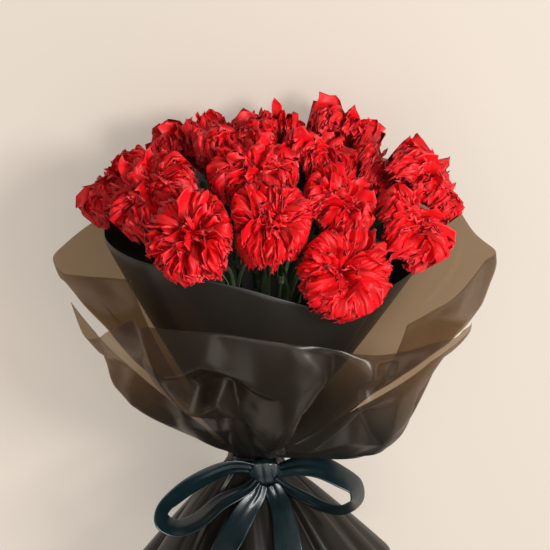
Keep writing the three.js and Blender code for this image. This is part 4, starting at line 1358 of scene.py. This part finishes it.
class CARNATION_OT_wrap(bpy.types.Operator):
    """Wrap the collar and the three film sheets, from the inside out"""
    bl_idname = "carnation.wrap"
    bl_label = "Collar and film"

    def execute(self, context):
        s = context.scene.carnation_wrap
        wrapped = BUILT["wrapped"] = Wrapped()
        thickness = s.thickness / MM
        black = film_finish("Inner collar", s.collar_color, 0.42)
        smoky = film_finish("Smoky film", s.film_color, 0.30, tuple(s.film_tint), s.film_haze)
        steps = np.linspace(0, 1, 240)
        table = np.array(COLLAR, float)
        rolled = []
        for turn in COLLAR_START + COLLAR_TURN * np.linspace(0, 1, COLLAR_COLUMNS + 1):
            rolled.append((turn, *[np.interp(turn % 360, table[:, 0], table[:, c]) for c in range(1, 5)]))
        creeps = (NECK_CREEP * steps, COLLAR_CREEP * steps)
        turns, radii, heights = sheet_grid(
            rolled, COLLAR_NECK, wrapped, lambda t: BACK_DEPTH - COLLAR_LIFT, 3, COLLAR_FOLDS,
            len(steps), creeps, wild=8)
        wrapped.add(turns, radii, heights)
        collar = sheet_piece("Wrap_inner_collar", turns, radii, heights, thickness)
        sheets = [(collar, black, "collar")]
        for name, stations, neck, seed, folds, count, level in (
                ("left", LEFT, LEFT_NECK, 5, LEFT_FOLDS, 130,
                 lambda t: BACK_DEPTH - (LAP_LIFT if t < LAP_END else FILM_LIFT)),
                ("right", RIGHT, RIGHT_NECK, 8, RIGHT_FOLDS, 132, lambda t: BACK_DEPTH - FILM_LIFT),
                ("front", FRONT, FRONT_NECK, 11, FRONT_FOLDS, 180, lambda t: BACK_DEPTH - FILM_LIFT)):
            turns, radii, heights = sheet_grid(stations, neck, wrapped, level, seed, folds, count)
            wrapped.add(turns, radii, heights)
            sheets.append((sheet_piece(f"Wrap_{name}", turns, radii, heights, thickness), smoky, "film"))
        for piece, finish, slot in sheets:
            piece.data.materials.append(finish)
            settle(piece, slot, piece.name.lower())
        return {"FINISHED"}


class CARNATION_OT_ribbon(bpy.types.Operator):
    """Tie the satin ribbon: band, knot, two loops and two tails"""
    bl_idname = "carnation.ribbon"
    bl_label = "Ribbon bow"

    def execute(self, context):
        s = context.scene.carnation_ribbon
        wrapped = BUILT["wrapped"]
        satin = satin_finish(s)
        thick, wide = s.thickness / MM, s.width / MM
        band = band_piece(thick)
        knot = knot_piece()
        pinched = [wide * (0.5 + 0.5 * math.sin(math.pi * t)) for t in np.linspace(0, 1, 21)]
        flared = [wide * (0.6 + 0.4 * min(1, t * 2)) for t in np.linspace(0, 1, 9)]
        strips = [
            ("Ribbon_loop_left", LEFT_LOOP, pinched, [50, 45, 50, 60, 55, 50, 55], 0.8, 21),
            ("Ribbon_loop_right", RIGHT_LOOP, pinched, [30, 20, 40, 60, 62, 52, 50], 0.8, 22),
            ("Ribbon_tail_left", LEFT_TAIL, flared, [20, -30, -55], -0.6, 23),
            ("Ribbon_tail_right", RIGHT_TAIL, flared, [-10, 0, 10], -0.6, 24),
        ]
        pieces = [(band, "ribbon_band"), (knot, "ribbon_knot")]
        for name, line, widths, tilts, curl, seed in strips:
            strip = ribbon_strip(name, line, widths, tilts, wrapped, thick, curl, seed)
            pieces.append((strip, name.lower()))
        for piece, node in pieces:
            piece.data.materials.append(satin)
            settle(piece, "ribbon", node)
        return {"FINISHED"}


class CARNATION_PT_panel(bpy.types.Panel):
    """Every part of the bunch, in the order they are built"""
    bl_idname = "CARNATION_PT_panel"
    bl_label = "Carnation bunch"
    bl_space_type = "VIEW_3D"
    bl_region_type = "UI"
    bl_category = "Carnations"

    def draw(self, context):
        for group in SETTINGS:
            settings = getattr(context.scene, group)
            box = self.layout.box()
            for key in settings.bl_rna.properties.keys():
                if key not in ("rna_type", "name"):
                    box.prop(settings, key)
        for operator in OPERATORS:
            self.layout.operator(operator.bl_idname)


OPERATORS = (
    CARNATION_OT_stage, CARNATION_OT_stems, CARNATION_OT_binding, CARNATION_OT_blooms, CARNATION_OT_wrap,
    CARNATION_OT_ribbon,
)
CLASSES = (*SETTINGS.values(), *OPERATORS, CARNATION_PT_panel)


def register():
    for cls in CLASSES:
        bpy.utils.register_class(cls)
    for name, group in SETTINGS.items():
        setattr(bpy.types.Scene, name, bpy.props.PointerProperty(type=group))


def unregister():
    for name in SETTINGS:
        delattr(bpy.types.Scene, name)
    for cls in reversed(CLASSES):
        bpy.utils.unregister_class(cls)


def main():
    register()
    for operator in OPERATORS:
        group, name = operator.bl_idname.split(".")
        getattr(getattr(bpy.ops, group), name)()


if __name__ == "__main__":
    main()
